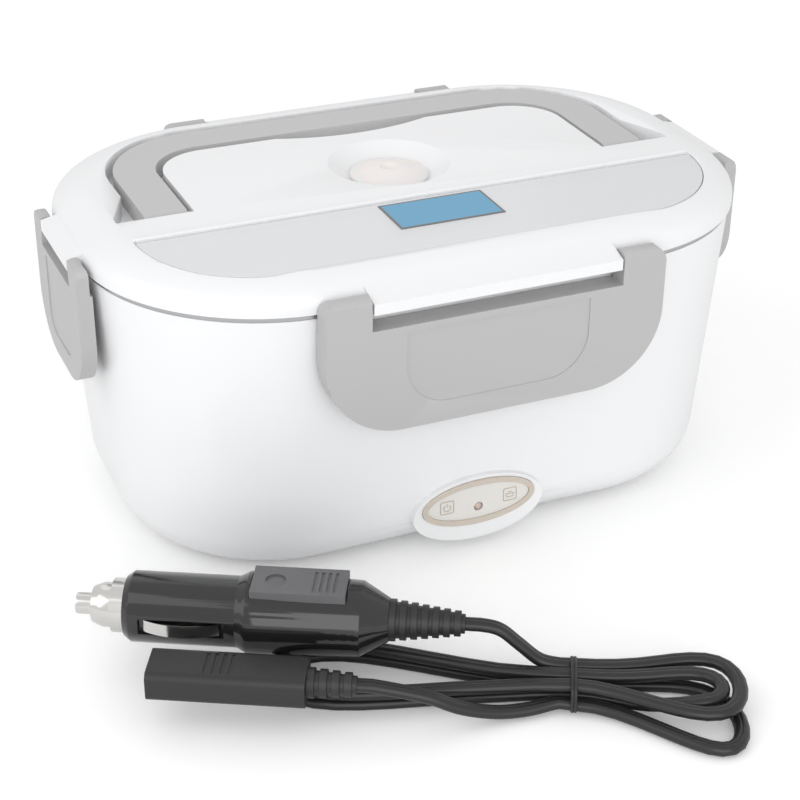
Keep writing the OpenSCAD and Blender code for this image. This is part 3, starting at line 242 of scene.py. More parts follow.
class FinishBook:
    """Turns finishes into materials, one material for each name."""

    def __init__(self) -> None:
        """Start with no material made."""
        self._effects = EffectGroups()
        self._made: dict[str, bpy.types.Material] = {}

    def material(self, finish: Finish) -> bpy.types.Material:
        """Give the material of a finish.

        Args:
            finish: the finish to build, or to find if it's built.

        Returns:
            The material.
        """
        if finish.name not in self._made:
            self._made[finish.name] = self._build(finish)
        return self._made[finish.name]

    def _build(self, finish: Finish) -> bpy.types.Material:
        """Make the nodes of one finish.

        Args:
            finish: the numbers to use.

        Returns:
            The new material.
        """
        material = bpy.data.materials.new(finish.name)
        material.use_nodes = True
        tree = material.node_tree
        shader = tree.nodes["Principled BSDF"]
        shader.inputs["Metallic"].default_value = finish.metallic
        shader.inputs["IOR"].default_value = PLASTIC_IOR
        shader.inputs["Coat Weight"].default_value = finish.coat
        shader.inputs["Coat Roughness"].default_value = finish.coat_roughness
        shader.inputs["Alpha"].default_value = finish.alpha
        if finish.subsurface:
            shader.inputs["Subsurface Weight"].default_value = finish.subsurface
            shader.inputs["Subsurface Scale"].default_value = SUBSURFACE_DEPTH
        drift = tree.nodes.new("ShaderNodeGroup")
        drift.node_tree = self._effects.get(Effect.DRIFT)
        drift.inputs["Tint"].default_value = (*finish.colour, 1.0)
        drift.inputs["Amount"].default_value = finish.drift
        surface = tree.nodes.new("ShaderNodeGroup")
        surface.node_tree = self._effects.get(Effect.BRUSH if finish.brushed else Effect.MOULD)
        surface.inputs["Scale"].default_value = finish.grain_scale
        surface.inputs["Roughness"].default_value = finish.roughness
        surface.inputs["Swing"].default_value = finish.roughness_swing
        bump = tree.nodes.new("ShaderNodeBump")
        bump.inputs["Strength"].default_value = finish.grain_depth
        bump.inputs["Distance"].default_value = GRAIN_HEIGHT
        tree.links.new(drift.outputs["Colour"], shader.inputs["Base Color"])
        tree.links.new(surface.outputs["Roughness"], shader.inputs["Roughness"])
        tree.links.new(surface.outputs["Height"], bump.inputs["Height"])
        tree.links.new(bump.outputs["Normal"], shader.inputs["Normal"])
        return material


CASE_WHITE = Finish("case_white_gloss", (0.86, 0.865, 0.875), 0.30, coat=0.12, coat_roughness=0.18)
INNER_WHITE = Finish("inner_white_matte", (0.82, 0.82, 0.82), 0.5)
LATCH_GREY = Finish("latch_grey_satin", (0.475, 0.47, 0.47), 0.42, grain_depth=0.12)
# The handle's grey is lighter than the latches' grey: painted light, standing for the stronger light that
# falls on its up-facing top.
HANDLE_GREY_TOPLIT = Finish("handle_grey_satin_painted_toplight", (0.53, 0.525, 0.525), 0.40, grain_depth=0.12)
TRAY_STEEL = Finish("tray_steel_satin", (0.50, 0.50, 0.51), 0.24, metallic=1.0, brushed=True,
                    grain_scale=400.0)
SEAL_WHITE = Finish("seal_white_silicone", (0.80, 0.80, 0.78), 0.5)
VENT_SILICONE = Finish("vent_milky_silicone", (0.86, 0.81, 0.80), 0.34, subsurface=0.3, coat=0.1)
COVER_MILKY = Finish("cover_milky_plastic", (0.86, 0.87, 0.88), 0.16, coat=0.2, alpha=0.8, drift=0.0)
LABEL_BLUE = Finish("label_sky_blue", (0.115, 0.36, 0.56), 0.38, drift=0.04)
LABEL_EDGE = Finish("label_grey_edge", (0.16, 0.16, 0.17), 0.4)
BEZEL_BEIGE = Finish("bezel_beige_gloss", (0.60, 0.54, 0.47), 0.2, coat=0.4, subsurface=0.2)
PANEL_PALE = Finish("panel_pale", (0.76, 0.745, 0.71), 0.45)
SIGN_BEIGE = Finish("sign_beige_print", (0.50, 0.44, 0.37), 0.5)
LED_LENS = Finish("led_pale_lens", (0.60, 0.47, 0.42), 0.25, coat=0.4, subsurface=0.3)
BLACK_MATTE = Finish("lead_black_matte", (0.022, 0.022, 0.023), 0.42, grain_depth=0.2)
BLACK_GLOSS = Finish("plug_black_gloss", (0.012, 0.012, 0.013), 0.12, coat=0.5, coat_roughness=0.05)
CORD_BLACK = Finish("cord_black_satin", (0.018, 0.018, 0.019), 0.33, grain_depth=0.1)
INLAY_GREY = Finish("plug_inlay_grey", (0.13, 0.13, 0.135), 0.4)
NICKEL = Finish("nickel_plate", (0.72, 0.71, 0.69), 0.18, metallic=1.0, brushed=True, grain_scale=500.0)
ZINC = Finish("zinc_screws", (0.60, 0.61, 0.62), 0.35, metallic=1.0)
PLATE_ALUMINIUM = Finish("heating_plate_aluminium", (0.72, 0.73, 0.74), 0.4, metallic=1.0, brushed=True)
FOOT_RUBBER = Finish("foot_rubber_grey", (0.10, 0.10, 0.10), 0.7, grain_depth=0.4)
CERAMIC = Finish("heater_ceramic", (0.66, 0.63, 0.57), 0.6)
MICA = Finish("mica_sheet", (0.45, 0.32, 0.14), 0.4, drift=0.2)
FUSE_RED = Finish("fuse_red_sleeve", (0.55, 0.05, 0.03), 0.4)
WIRE_RED = Finish("wire_red_sleeve", (0.42, 0.02, 0.02), 0.4)
BOARD_GREEN = Finish("board_green", (0.02, 0.16, 0.07), 0.4)
FUSE_GLASS = Finish("fuse_clear_tube", (0.8, 0.85, 0.85), 0.1, alpha=0.5)


# ---------------------------------------------------------------- mesh work


class MeshWork:
    """Shared ways of making, copying and finishing meshes."""

    @staticmethod
    def link(name: str, mesh: bpy.types.Mesh, material: bpy.types.Material | None) -> bpy.types.Object:
        """Put a mesh in the scene as an object at the origin.

        Args:
            name: the piece's name.
            mesh: its mesh.
            material: its only material, or None when the mesh already has some.

        Returns:
            The object.
        """
        if material is not None:
            mesh.materials.clear()
            mesh.materials.append(material)
        piece = bpy.data.objects.new(name, mesh)
        bpy.context.scene.collection.objects.link(piece)
        return piece

    @classmethod
    def from_bmesh(cls, name: str, work: bmesh.types.BMesh, material: bpy.types.Material | None,
                   sharp_deg: float = 35.0) -> bpy.types.Object:
        """Turn a finished bmesh into a smooth-shaded object.

        Args:
            name: the piece's name.
            work: the bmesh, which is freed.
            material: its only material, or None to keep its own.
            sharp_deg: edges that turn by more than this stay sharp.

        Returns:
            The object.
        """
        bmesh.ops.recalc_face_normals(work, faces=work.faces)
        mesh = bpy.data.meshes.new(name)
        work.to_mesh(mesh)
        work.free()
        cls.smooth(mesh, sharp_deg)
        return cls.link(name, mesh, material)

    @staticmethod
    def smooth(mesh: bpy.types.Mesh, sharp_deg: float) -> None:
        """Shade a mesh smooth, with edges past an angle left sharp."""
        mesh.shade_smooth()
        mesh.set_sharp_from_angle(angle=math.radians(sharp_deg))

    @classmethod
    def solid_copy(cls, source: bpy.types.Object, name: str, material: bpy.types.Material,
                   edge_m: float = 0.0, sharp_deg: float = 28.0) -> bpy.types.Object:
        """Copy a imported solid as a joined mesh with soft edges.

        Args:
            source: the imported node's object.
            name: the copy's name.
            material: the copy's material.
            edge_m: width of the soft edges, or 0 for none.
            sharp_deg: edges that turn by more than this are edges of the part.

        Returns:
            The copy.
        """
        work = bmesh.new()
        work.from_mesh(source.data)
        bmesh.ops.remove_doubles(work, verts=work.verts, dist=MERGE_DISTANCE)
        if edge_m:
            bmesh.ops.dissolve_limit(work, angle_limit=math.radians(FLAT_ANGLE_DEG), verts=work.verts,
                                     edges=work.edges, use_dissolve_boundaries=False)
            cls.weigh_edges(work, edge_m, sharp_deg)
        mesh = bpy.data.meshes.new(name)
        work.to_mesh(mesh)
        work.free()
        cls.smooth(mesh, sharp_deg)
        piece = cls.link(name, mesh, material)
        if edge_m:
            cls.soften(piece, edge_m, weighted=True)
        return piece

    @staticmethod
    def weigh_edges(work: bmesh.types.BMesh, edge_m: float, sharp_deg: float) -> None:
        """Mark the part's hard edges, with less rounding where a neighbouring face is narrow.

        Args:
            work: the bmesh to mark.
            edge_m: full width of the rounding.
            sharp_deg: edges that turn by more than this are marked.
        """
        weight = work.edges.layers.float.new("bevel_weight_edge")
        for edge in work.edges:
            if len(edge.link_faces) != 2 or edge.calc_face_angle(0.0) < math.radians(sharp_deg):
                continue
            width = min(face.calc_area() / (face.calc_perimeter() / 2) for face in edge.link_faces)
            edge[weight] = min(1.0, EDGE_SHARE * width / edge_m)

    @classmethod
    def soften(cls, piece: bpy.types.Object, width_m: float, sharp_deg: float = 30.0, segments: int = 2,
               weighted: bool = False) -> None:
        """Round a piece's hard edges and keep its flats flat.

        Args:
            piece: the object to change.
            width_m: the rounding's width.
            sharp_deg: edges that turn by more than this are rounded.
            segments: steps across the rounding.
            weighted: whether the mesh's own edge marks set what is rounded.
        """
        bevel = piece.modifiers.new("soft_edges", "BEVEL")
        bevel.width = width_m
        bevel.segments = segments
        bevel.limit_method = "WEIGHT" if weighted else "ANGLE"
        bevel.use_clamp_overlap = True
        bevel.angle_limit = math.radians(sharp_deg)
        bevel.harden_normals = True
        cls.bake(piece)

    @staticmethod
    def bake(piece: bpy.types.Object) -> None:
        """Replace a piece's mesh by what its modifiers make, and remove them."""
        graph = bpy.context.evaluated_depsgraph_get()
        graph.update()
        mesh = bpy.data.meshes.new_from_object(piece.evaluated_get(graph), preserve_all_data_layers=True,
                                               depsgraph=graph)
        old = piece.data
        piece.modifiers.clear()
        if piece.type == "MESH":
            piece.data = mesh
            mesh.name = piece.name
            if old.users == 0:
                bpy.data.meshes.remove(old)

    @staticmethod
    def block(work: bmesh.types.BMesh, low: Sequence[float], high: Sequence[float]) -> None:
        """Add a closed box between two corners given in millimetres.

        Args:
            work: the bmesh to add to.
            low: its lowest corner.
            high: its highest corner.
        """
        centre = [(a + b) / 2 * MM for a, b in zip(low, high)]
        size = [(b - a) * MM for a, b in zip(low, high)]
        grow = Matrix.Translation(centre) @ Matrix.Diagonal((*size, 1.0))
        bmesh.ops.create_cube(work, size=1.0, matrix=grow)


# ---------------------------------------------------------------- repeated and swept forms


class NodeSheet:
    """A geometry node tree with named inputs, built node by node."""

    def __init__(self, name: str, inputs: dict[str, float | int]) -> None:
        """Make the tree.

        Args:
            name: the tree's name.
            inputs: default value of each named size; whole numbers make whole-number inputs.
        """
        self.tree = bpy.data.node_groups.new(name, "GeometryNodeTree")
        self.tree.interface.new_socket("Geometry", in_out="INPUT", socket_type="NodeSocketGeometry")
        self.keys: dict[str, str] = {}
        for key, value in inputs.items():
            kind = "NodeSocketInt" if isinstance(value, int) else "NodeSocketFloat"
            socket = self.tree.interface.new_socket(key, in_out="INPUT", socket_type=kind)
            socket.default_value = value
            self.keys[key] = socket.identifier
        self.tree.interface.new_socket("Geometry", in_out="OUTPUT", socket_type="NodeSocketGeometry")
        self.start = self.tree.nodes.new("NodeGroupInput")
        self.end = self.tree.nodes.new("NodeGroupOutput")

    def add(self, kind: str, settings: dict[str, Any] | None = None, **links: Any) -> bpy.types.Node:
        """Add a node, set its options and fill its inputs.

        Args:
            kind: the node's type.
            settings: attributes of the node to set.
            links: input values or sockets, with spaces in names written as underscores.

        Returns:
            The node.
        """
        node = self.tree.nodes.new(kind)
        for key, value in (settings or {}).items():
            setattr(node, key, value)
        for key, value in links.items():
            socket = node.inputs[key.replace("_", " ")]
            if isinstance(value, bpy.types.NodeSocket):
                self.tree.links.new(value, socket)
            else:
                socket.default_value = value
        return node

    def finish(self, geometry: bpy.types.NodeSocket, material: bpy.types.Material) -> None:
        """End the tree with real geometry, smooth shading and a material.

        Args:
            geometry: the socket that carries the result.
            material: the material that it gets.
        """
        real = self.add("GeometryNodeRealizeInstances", Geometry=geometry)
        soft = self.add("GeometryNodeSetShadeSmooth", Geometry=real.outputs[0])
        dressed = self.add("GeometryNodeSetMaterial", Geometry=soft.outputs[0], Material=material)
        self.tree.links.new(dressed.outputs[0], self.end.inputs[0])

    def apply(self, piece: bpy.types.Object,
              values: dict[str, float | int] | None = None) -> bpy.types.Object:
        """Run the tree on a piece and keep the result as its plain mesh.

        Args:
            piece: the object whose geometry goes in.
            values: sizes that differ from the tree's defaults.

        Returns:
            The same object.
        """
        modifier = piece.modifiers.new(self.tree.name, "NODES")
        modifier.node_group = self.tree
        for key, value in (values or {}).items():
            modifier[self.keys[key]] = value
        MeshWork.bake(piece)
        return piece


def twin_cord_sheet(material: bpy.types.Material) -> NodeSheet:
    """Build the tree that sweeps a two-core cord along a line of points.

    Args:
        material: the cord's material.

    Returns:
        The tree, whose input geometry is the line.
    """
    sheet = NodeSheet("twin_core_cord", {"Core Radius": 0.0017, "Core Offset": 0.0006, "Sides": 14})
    line = sheet.add("GeometryNodeMeshToCurve", Mesh=sheet.start.outputs["Geometry"])
    upright = sheet.add("GeometryNodeSetCurveNormal", {"mode": "Z_UP"}, Curve=line.outputs[0])
    core = sheet.add("GeometryNodeCurvePrimitiveCircle", {"mode": "RADIUS"},
                     Resolution=sheet.start.outputs["Sides"], Radius=sheet.start.outputs["Core Radius"])
    both = sheet.add("GeometryNodeJoinGeometry")
    for side in (1.0, -1.0):
        times = sheet.add("ShaderNodeMath", {"operation": "MULTIPLY"})
        sheet.tree.links.new(sheet.start.outputs["Core Offset"], times.inputs[0])
        times.inputs[1].default_value = side
        shift = sheet.add("ShaderNodeCombineXYZ", X=times.outputs[0])
        moved = sheet.add("GeometryNodeTransform", Geometry=core.outputs[0], Translation=shift.outputs[0])
        sheet.tree.links.new(moved.outputs[0], both.inputs[0])
    swept = sheet.add("GeometryNodeCurveToMesh", Curve=upright.outputs[0], Profile_Curve=both.outputs[0],
                      Fill_Caps=True)
    sheet.finish(swept.outputs[0], material)
    return sheet


def round_wire_sheet(material: bpy.types.Material) -> NodeSheet:
    """Build the tree that sweeps a round wire along a line of points.

    Args:
        material: the wire's material.

    Returns:
        The tree, whose input geometry is the line.
    """
    sheet = NodeSheet("round_wire_" + material.name, {"Wire Radius": 0.0005, "Sides": 12})
    line = sheet.add("GeometryNodeMeshToCurve", Mesh=sheet.start.outputs["Geometry"])
    core = sheet.add("GeometryNodeCurvePrimitiveCircle", {"mode": "RADIUS"},
                     Resolution=sheet.start.outputs["Sides"], Radius=sheet.start.outputs["Wire Radius"])
    swept = sheet.add("GeometryNodeCurveToMesh", Curve=line.outputs[0], Profile_Curve=core.outputs[0],
                      Fill_Caps=True)
    sheet.finish(swept.outputs[0], material)
    return sheet


def line_object(name: str, points: Sequence[Vector], closed: bool = False) -> bpy.types.Object:
    """Make a bare line of edges through points.

    Args:
        name: the object's name.
        points: its points in metres.
        closed: whether the last point joins the first.

    Returns:
        The object.
    """
    mesh = bpy.data.meshes.new(name)
    edges = [(i, i + 1) for i in range(len(points) - 1)]
    if closed:
        edges.append((len(points) - 1, 0))
    mesh.from_pydata([tuple(p) for p in points], edges, [])
    return MeshWork.link(name, mesh, None)


# ---------------------------------------------------------------- studio


@dataclass
class Studio:
    """Camera at the photograph's angle, soft lamps, and a plain pale floor."""

    camera_at: Point = (-0.2243, -0.5235, 0.3371)
    looks_at: Point = (0.0054, 0.0079, 0.0141)
    lens_mm: float = 83.1
    roll_deg: float = 0.4
    floor_size: float = 6.0
    floor_white: float = 0.92
    floor_glow: float = 0.16
    world_level: float = 0.80
    lamps: tuple[tuple[str, Point, float, float], ...] = (
        ("key_lamp", (-1.3, -0.2, 0.9), 1.3, 4.0),
        ("fill_lamp", (-0.35, -1.5, 0.5), 1.4, 10.0),
        ("back_lamp", (0.2, 1.4, 1.3), 1.4, 1.5),
    )

    def build(self) -> None:
        """Set up the view, the light and the floor."""
        bpy.context.scene.view_settings.view_transform = "Standard"
        self._camera()
        self._world()
        for name, place, size, power in self.lamps:
            self._lamp(name, place, size, power)
        self._floor()

    def _aim(self, place: Point) -> Matrix:
        """Return a matrix at a place that looks at the scene's middle."""
        way = Vector(self.looks_at) - Vector(place)
        return Matrix.Translation(place) @ way.to_track_quat("-Z", "Y").to_matrix().to_4x4()

    def _camera(self) -> None:
        """Place the camera as the photograph was taken."""
        data = bpy.data.cameras.new("photo_camera")
        data.lens = self.lens_mm
        data.sensor_width = 36.0
        data.clip_start = 0.01
        camera = bpy.data.objects.new("photo_camera", data)
        roll = Matrix.Rotation(math.radians(self.roll_deg), 4, "Z")
        camera.matrix_world = self._aim(self.camera_at) @ roll
        bpy.context.scene.collection.objects.link(camera)
        bpy.context.scene.camera = camera

    def _world(self) -> None:
        """Light the scene evenly and show white behind it."""
        world = bpy.data.worlds.new("studio_world")
        world.use_nodes = True
        tree = world.node_tree
        back = tree.nodes["Background"]
        back.inputs["Color"].default_value = (1.0, 1.0, 1.0, 1.0)
        path = tree.nodes.new("ShaderNodeLightPath")
        seen = tree.nodes.new("ShaderNodeMath")
        seen.operation = "MAXIMUM"
        level = tree.nodes.new("ShaderNodeMapRange")
        level.inputs["To Min"].default_value = self.world_level
        level.inputs["To Max"].default_value = 1.0
        tree.links.new(path.outputs["Is Camera Ray"], seen.inputs[0])
        tree.links.new(path.outputs["Is Transmission Ray"], seen.inputs[1])
        tree.links.new(seen.outputs[0], level.inputs["Value"])
        tree.links.new(level.outputs["Result"], back.inputs["Strength"])
        bpy.context.scene.world = world

    def _lamp(self, name: str, place: Point, size: float, power: float) -> None:
        """Add one large square lamp.

        Args:
            name: its name.
            place: where it is, in metres.
            size: its side, in metres.
            power: its power in watts.
        """
        data = bpy.data.lights.new(name, "AREA")
        data.shape = "SQUARE"
        data.size = size
        data.energy = power
        lamp = bpy.data.objects.new(name, data)
        lamp.matrix_world = self._aim(place)
        bpy.context.scene.collection.objects.link(lamp)

    def _floor(self) -> None:
        """Lay the pale floor, which keeps the soft shadow."""
        work = bmesh.new()
        bmesh.ops.create_grid(work, x_segments=1, y_segments=1, size=self.floor_size)
        material = bpy.data.materials.new("floor_white")
        material.use_nodes = True
        tree = material.node_tree
        shader = tree.nodes["Principled BSDF"]
        shader.inputs["Base Color"].default_value = (*[self.floor_white] * 3, 1.0)
        shader.inputs["Roughness"].default_value = 0.9
        shader.inputs["Specular IOR Level"].default_value = 0.0
        shader.inputs["Emission Color"].default_value = (1.0, 1.0, 1.0, 1.0)
        path = tree.nodes.new("ShaderNodeLightPath")
        level = tree.nodes.new("ShaderNodeMath")
        level.operation = "MULTIPLY"
        level.inputs[1].default_value = self.floor_glow
        tree.links.new(path.outputs["Is Camera Ray"], level.inputs[0])
        tree.links.new(level.outputs[0], shader.inputs["Emission Strength"])
        floor = MeshWork.from_bmesh("floor", work, material)


# ---------------------------------------------------------------- the box


@dataclass
class Shells:
    """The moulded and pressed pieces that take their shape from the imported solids."""

    book: FinishBook
    nodes: dict[str, bpy.types.Object]
    looks: dict[str, tuple[Finish, float, str]] = field(default_factory=lambda: {
        "outer_case": (CASE_WHITE, 0.5, "case"),
        "inner_liner": (INNER_WHITE, 0.0, "case"),
        "bottom_cover": (CASE_WHITE, 0.0, "case"),
        "rubber_feet": (FOOT_RUBBER, 0.3, "case"),
        "panel_bezel": (BEZEL_BEIGE, 0.25, "case"),
        "panel_face": (PANEL_PALE, 0.0, "case"),
        "indicator_led": (LED_LENS, 0.0, "case"),
        "inlet_housing": (BLACK_MATTE, 0.25, "case"),
        "inlet_pins": (NICKEL, 0.2, "case"),
        "steel_tray": (TRAY_STEEL, 0.15, "tray"),
        "lid_shell": (CASE_WHITE, 0.6, "lid"),
        "lid_inner": (INNER_WHITE, 0.0, "lid"),
        "lid_gasket": (SEAL_WHITE, 0.2, "lid"),
        "handle_pins": (ZINC, 0.0, "lid"),
        "vent_plug": (VENT_SILICONE, 0.3, "vent"),
        "cutlery_cover": (COVER_MILKY, 0.25, "window"),
        "handle": (HANDLE_GREY_TOPLIT, 0.9, "carry_handle"),
        "latch_front": (LATCH_GREY, 1.0, "front_latch"),
        "latch_right": (LATCH_GREY, 1.0, "right_latch"),
        "latch_back": (LATCH_GREY, 1.0, "back_latch"),
        "latch_left": (LATCH_GREY, 1.0, "left_latch"),
        "lead_connector": (BLACK_MATTE, 0.5, "case"),
        "connector_relief": (BLACK_MATTE, 0.2, "case"),
        "plug_relief": (BLACK_MATTE, 0.2, "case"),
        "plug_body": (BLACK_GLOSS, 0.5, "case"),
        "plug_collar": (NICKEL, 0.2, "case"),
        "plug_tip": (NICKEL, 0.2, "case"),
        "plug_contacts": (NICKEL, 0.0, "case"),
    })
    plain: dict[str, Finish] = field(default_factory=lambda: {
        "cover_screws": ZINC,
        "heating_plate": PLATE_ALUMINIUM,
        "ptc_heater": CERAMIC,
        "insulation_sheet": MICA,
        "heater_clamp": ZINC,
        "clamp_screws": ZINC,
        "thermostat": ZINC,
        "thermal_fuse": FUSE_RED,
        "wiring": WIRE_RED,
        "led_board": BOARD_GREEN,
        "plug_inlay": INLAY_GREY,
        "plug_fuse": FUSE_GLASS,
        "plug_spring": NICKEL,
    })

    def build(self) -> None:
        """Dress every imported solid, the seen ones as soft-edged copies."""
        for node, (finish, edge_mm, body) in self.looks.items():
            source = self.nodes[node]
            piece = MeshWork.solid_copy(source, node + "_shell", self.book.material(finish), edge_mm * MM)
            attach(piece, body)
            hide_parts(node)
            LOG.info("%s dressed in %s", node, finish.name)
        for node, finish in self.plain.items():
            self._assign(self.nodes[node], self.book.material(finish))
            LOG.info("%s painted %s", node, finish.name)

    @staticmethod
    def _slot_of(source: bpy.types.Object) -> str:
        """Return the record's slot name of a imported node."""
        return source.material_slots[0].material.name.split(".")[0]

    @staticmethod
    def _assign(source: bpy.types.Object, material: bpy.types.Material) -> None:
        """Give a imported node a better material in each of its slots."""
        for slot in source.material_slots:
            slot.material = material


@dataclass
class LidTrim:
    """The small moulded and printed things on the lid's top."""

    book: FinishBook
    ridge_half: float = 96.5
    ridge_y: float = -22.9
    ridge_wide: float = 1.6
    ridge_high: float = 0.45
    ridge_sunk: float = 0.6
    ridge_round: float = 0.6
    lid_top: float = 107.0
    label_edge: float = 1.1

    def build(self) -> None:
        """Make the ridge behind the cover and the bare label."""
        self._ridge()
        self._label()

    def _ridge(self) -> None:
        """Run a low rounded ridge along the cover's straight edge."""
        work = bmesh.new()
        low = (-self.ridge_half, self.ridge_y - self.ridge_wide / 2, self.lid_top - self.ridge_sunk)
        high = (self.ridge_half, self.ridge_y + self.ridge_wide / 2, self.lid_top + self.ridge_high)
        MeshWork.block(work, low, high)
        piece = MeshWork.from_bmesh("cover_ridge", work, self.book.material(CASE_WHITE))
        MeshWork.soften(piece, self.ridge_round * MM, segments=4)
        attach(piece, "lid")
        LOG.info("cover ridge made")

    def _label(self) -> None:
        """Lay the sky-blue label with its thin grey border."""
        low, high = (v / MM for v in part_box("label"))
        work = bmesh.new()
        MeshWork.block(work, tuple(low), tuple(high))
        top = max(work.faces, key=lambda f: f.calc_center_median().z)
        bmesh.ops.inset_individual(work, faces=[top], thickness=self.label_edge * MM, depth=0.0)
        for face in work.faces:
            face.material_index = 1
        top.material_index = 0
        piece = MeshWork.from_bmesh("label_sticker", work, None)
        piece.data.materials.append(self.book.material(LABEL_BLUE))
        piece.data.materials.append(self.book.material(LABEL_EDGE))
        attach(piece, "window")
        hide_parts("label")
        LOG.info("label made")


@dataclass
class PowerSigns:
    """Two small generic signs printed on the oval panel."""

    book: FinishBook
    wire: float = 0.16
    half: float = 2.3
    sign_x: float = 11.2
    rise: float = 0.02

    def build(self) -> None:
        """Draw both signs as thin raised lines on the panel's face."""
        low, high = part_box("panel_face")
        centre = Vector((0.0, low.y - self.rise * MM, (low.z + high.z) / 2))
        lines: list[tuple[list[tuple[float, float]], bool]] = []
        for side in (-1.0, 1.0):
            lines.append((self._square(side * self.sign_x, self.half), True))
        ring = [(-self.sign_x + 1.2 * math.cos(a), 1.2 * math.sin(a) - 0.1)
                for a in (math.radians(-230 + 280 * k / 20) for k in range(21))]
        lines += [(ring, False), ([(-self.sign_x, 0.2), (-self.sign_x, 1.5)], False)]
        box = [(self.sign_x - 1.4, 0.2), (self.sign_x - 1.1, -1.0), (self.sign_x + 1.1, -1.0),
               (self.sign_x + 1.4, 0.2)]
        lines += [(box, True), ([(self.sign_x - 0.6, 0.9), (self.sign_x + 0.6, 0.9)], False)]
        sheet = round_wire_sheet(self.book.material(SIGN_BEIGE))
        for number, (flat, closed) in enumerate(lines):
            points = [centre + Vector((x * MM, 0.0, z * MM)) for x, z in flat]
            piece = line_object(f"panel_sign_{number}", points, closed)
            sheet.apply(piece, {"Wire Radius": self.wire * MM})
            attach(piece, "case")
        LOG.info("panel signs made")

    @staticmethod
    def _square(x: float, half: float, corner: float = 0.5) -> list[tuple[float, float]]:
        """Return the outline of a square with round corners.

        Args:
            x: its centre along the panel.
            half: half its side.
            corner: its corners' radius.

        Returns:
            Points in millimetres from the panel's centre.
        """
        out = []
        for quarter in range(4):
            turn = math.tau * quarter / 4
            cx = (half - corner) * (1 if quarter in (0, 3) else -1)
            cz = (half - corner) * (1 if quarter < 2 else -1)
            for k in range(5):
                a = turn + math.pi / 2 * k / 4
                out.append((x + cx + corner * math.cos(a), cz + corner * math.sin(a)))
        return out


# ---------------------------------------------------------------- the lead


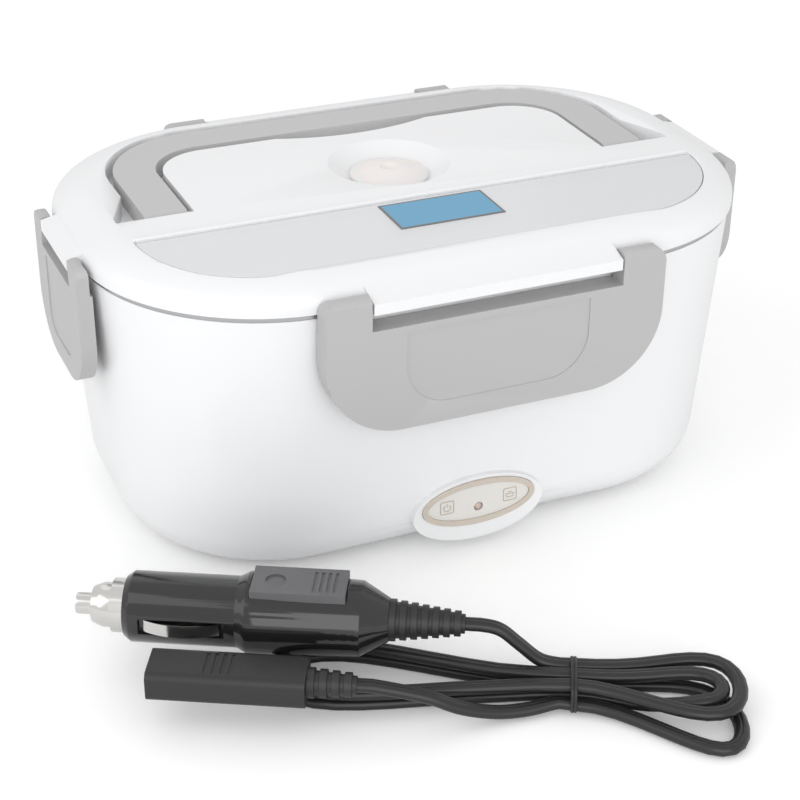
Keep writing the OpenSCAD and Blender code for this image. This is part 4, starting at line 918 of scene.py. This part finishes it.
@dataclass
class Lead:
    """The car lead beside the box: its cord's one route and its tie."""

    book: FinishBook
    at: tuple[float, float] = (-128.0, -66.0)
    turn_deg: float = -28.0
    cord_d: float = 4.2
    layer: float = 4.8
    tie_u: float = 146.0
    tie_v: float = -20.0
    tie_lift: float = 1.0
    tie_square: float = 0.55
    tie_wire: float = 0.55
    loop_right: float = 49.0
    loop_left: float = 90.0
    waist: float = 6.0
    waist_step: float = 4.8
    loop_step: float = 5.2
    loop_wide: float = 14.0
    turns: float = 2.5
    reverse_at: float = 1.25
    rings: int = 48
    barrel_d: float = 21.0
    plug_v: float = -14.0
    relief_end: float = 114.0
    connector_relief_end: float = 85.0
    connector_v: float = -38.0
    connector_h: float = 9.6

    @property
    def place(self) -> Matrix:
        """Matrix from the lead's own frame, in metres, to the row frame."""
        return (Matrix.Translation((self.at[0] * MM, self.at[1] * MM, 0.0))
                @ Matrix.Rotation(math.radians(self.turn_deg), 4, "Z"))

    @property
    def plug_z(self) -> float:
        """Height of the plug's axis, in millimetres."""
        return 2 * self.layer + self.barrel_d / 2 + 0.3

    def to_row(self, point: Sequence[float]) -> Vector:
        """Take a point of the lead's frame, in millimetres, to the row frame, in metres."""
        return self.place @ (Vector(point) * MM)

    @staticmethod
    def _ease(x: float) -> float:
        """Rise smoothly from 0 to 1."""
        c = min(max(x, 0.0), 1.0)
        return c * c * (3 - 2 * c)

    def hank_point(self, t: float) -> Vector:
        """Give the hank's centreline at t turns from the waist.

        Args:
            t: turns, from 0 to the hank's last.

        Returns:
            The point in the lead's frame, in millimetres.
        """
        a = math.tau * t
        s, c = math.sin(a), math.cos(a)
        inward = t if t < self.reverse_at else 2 * self.reverse_at - t
        right = s > 0
        p = ((self.loop_right if right else self.loop_left) - self.loop_step * inward) * s
        wide = self.loop_wide + (0 if right else 3) - self.loop_step * inward
        skew = -0.24 * (1 - self._ease((t - 0.35) / 0.3))
        v = self.tie_v - (self.waist - self.waist_step * inward) * c - 2 * wide * s * s * c
        v += skew * p * s if right else 0
        lift = self.tie_lift * (1 - self._ease(abs(p) / 25))
        climb = self.layer * self._ease((t - 1.05) / 0.12)
        return Vector((self.tie_u + p, v, self.cord_d / 2 + climb + lift))

    @staticmethod
    def _spline(points: Sequence[Vector], steps: int) -> list[Vector]:
        """Give a smooth curve through points, its first and last spans straight.

        Args:
            points: the points to pass through.
            steps: pieces in each curved span.

        Returns:
            The curve's points, ends included.
        """
        out = [points[0]]
        last = len(points) - 1
        for i in range(1, last - 1):
            a, b, c, d = points[i - 1], points[i], points[i + 1], points[i + 2]
            for k in range(steps):
                t = k / steps
                out.append(0.5 * (2 * b + (c - a) * t + (2 * a - 5 * b + 4 * c - d) * t ** 2
                                  + (3 * b - a - 3 * c + d) * t ** 3))
        return [*out, points[last - 1], points[last]]

    def route(self) -> list[Vector]:
        """Give the whole cord's centreline from the connector to the plug.

        Returns:
            Points in the row frame, in metres.
        """
        connector_z = 2 * self.layer + self.connector_h / 2 + 0.3
        hank = [self.hank_point(i / self.rings) for i in range(int(self.turns * self.rings) + 1)]
        lead_in = [
            Vector((self.connector_relief_end, self.connector_v, connector_z)),
            Vector((self.connector_relief_end + self.cord_d, self.connector_v, connector_z)),
            Vector((104, -37.2, 11.6)), Vector((114, -35.4, 6.8)), Vector((124, -32.4, 3.6)),
            Vector((133, -29.2, 2.7)),
            hank[0] - self.cord_d * (hank[1] - hank[0]).normalized(), hank[0],
        ]
        lead_out = [
            hank[-1], hank[-1] + self.cord_d * (hank[-1] - hank[-2]).normalized(),
            Vector((135.9, -14, 9.2)), Vector((130, -14, 14.15)), Vector((124.1, -14, 19.1)),
            Vector((self.relief_end + self.cord_d, self.plug_v, self.plug_z)),
            Vector((self.relief_end, self.plug_v, self.plug_z)),
        ]
        points = self._spline(lead_in, 6)[:-1] + hank + self._spline(lead_out, 6)[1:]
        return [self.to_row(p) for p in points]

    def build(self) -> None:
        """Make the cord and its tie."""
        points = self.route()
        cord = twin_cord_sheet(self.book.material(CORD_BLACK)).apply(line_object("lead_cord", points))
        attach(cord, "case")
        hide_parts("connector_cord", "lead_hank", "plug_cord")
        tie = self._tie()

    def _tie(self) -> bpy.types.Object:
        """Wrap the wire tie twice round the hank's waist.

        Returns:
            The tie.
        """
        half_w, half_h = self.waist + self.cord_d / 2 + 0.7, (self.layer + self.cord_d) / 2 + 0.35
        middle = self.tie_lift + (self.layer + self.cord_d) / 2
        points: list[Vector] = []
        for k in range(61):
            a = math.radians(-70 + 790 * k / 60)
            y = half_w * math.copysign(abs(math.cos(a)) ** self.tie_square, math.cos(a))
            z = half_h * math.copysign(abs(math.sin(a)) ** self.tie_square, math.sin(a))
            points.append(self.to_row((self.tie_u - 1.0 + 2.0 * k / 60, self.tie_v + y, middle + z)))
        piece = line_object("twist_tie_wire", points)
        round_wire_sheet(self.book.material(BLACK_MATTE)).apply(piece, {"Wire Radius": self.tie_wire * MM})
        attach(piece, "case")
        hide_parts("twist_tie")
        return piece


# ---------------------------------------------------------------- the whole


def write_sizes() -> None:
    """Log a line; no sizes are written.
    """
    LOG.info("sizes written")


def main() -> None:
    """Build the studio, the box and its lead in order."""
    logging.basicConfig(level=logging.INFO, format="%(name)s: %(message)s")
    bpy.ops.wm.read_factory_settings(use_empty=True)
    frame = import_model()
    book = FinishBook()
    steps: tuple[tuple[str, Callable[[], None]], ...] = (
        ("studio", Studio().build),
        ("shells", Shells(book, frame["nodes"]).build),
        ("lid trim", LidTrim(book).build),
        ("power signs", PowerSigns(book).build),
        ("lead", Lead(book).build),
    )
    for name, build in steps:
        build()
        LOG.info("%s done", name)
    write_sizes()


if __name__ == "__main__":
    main()
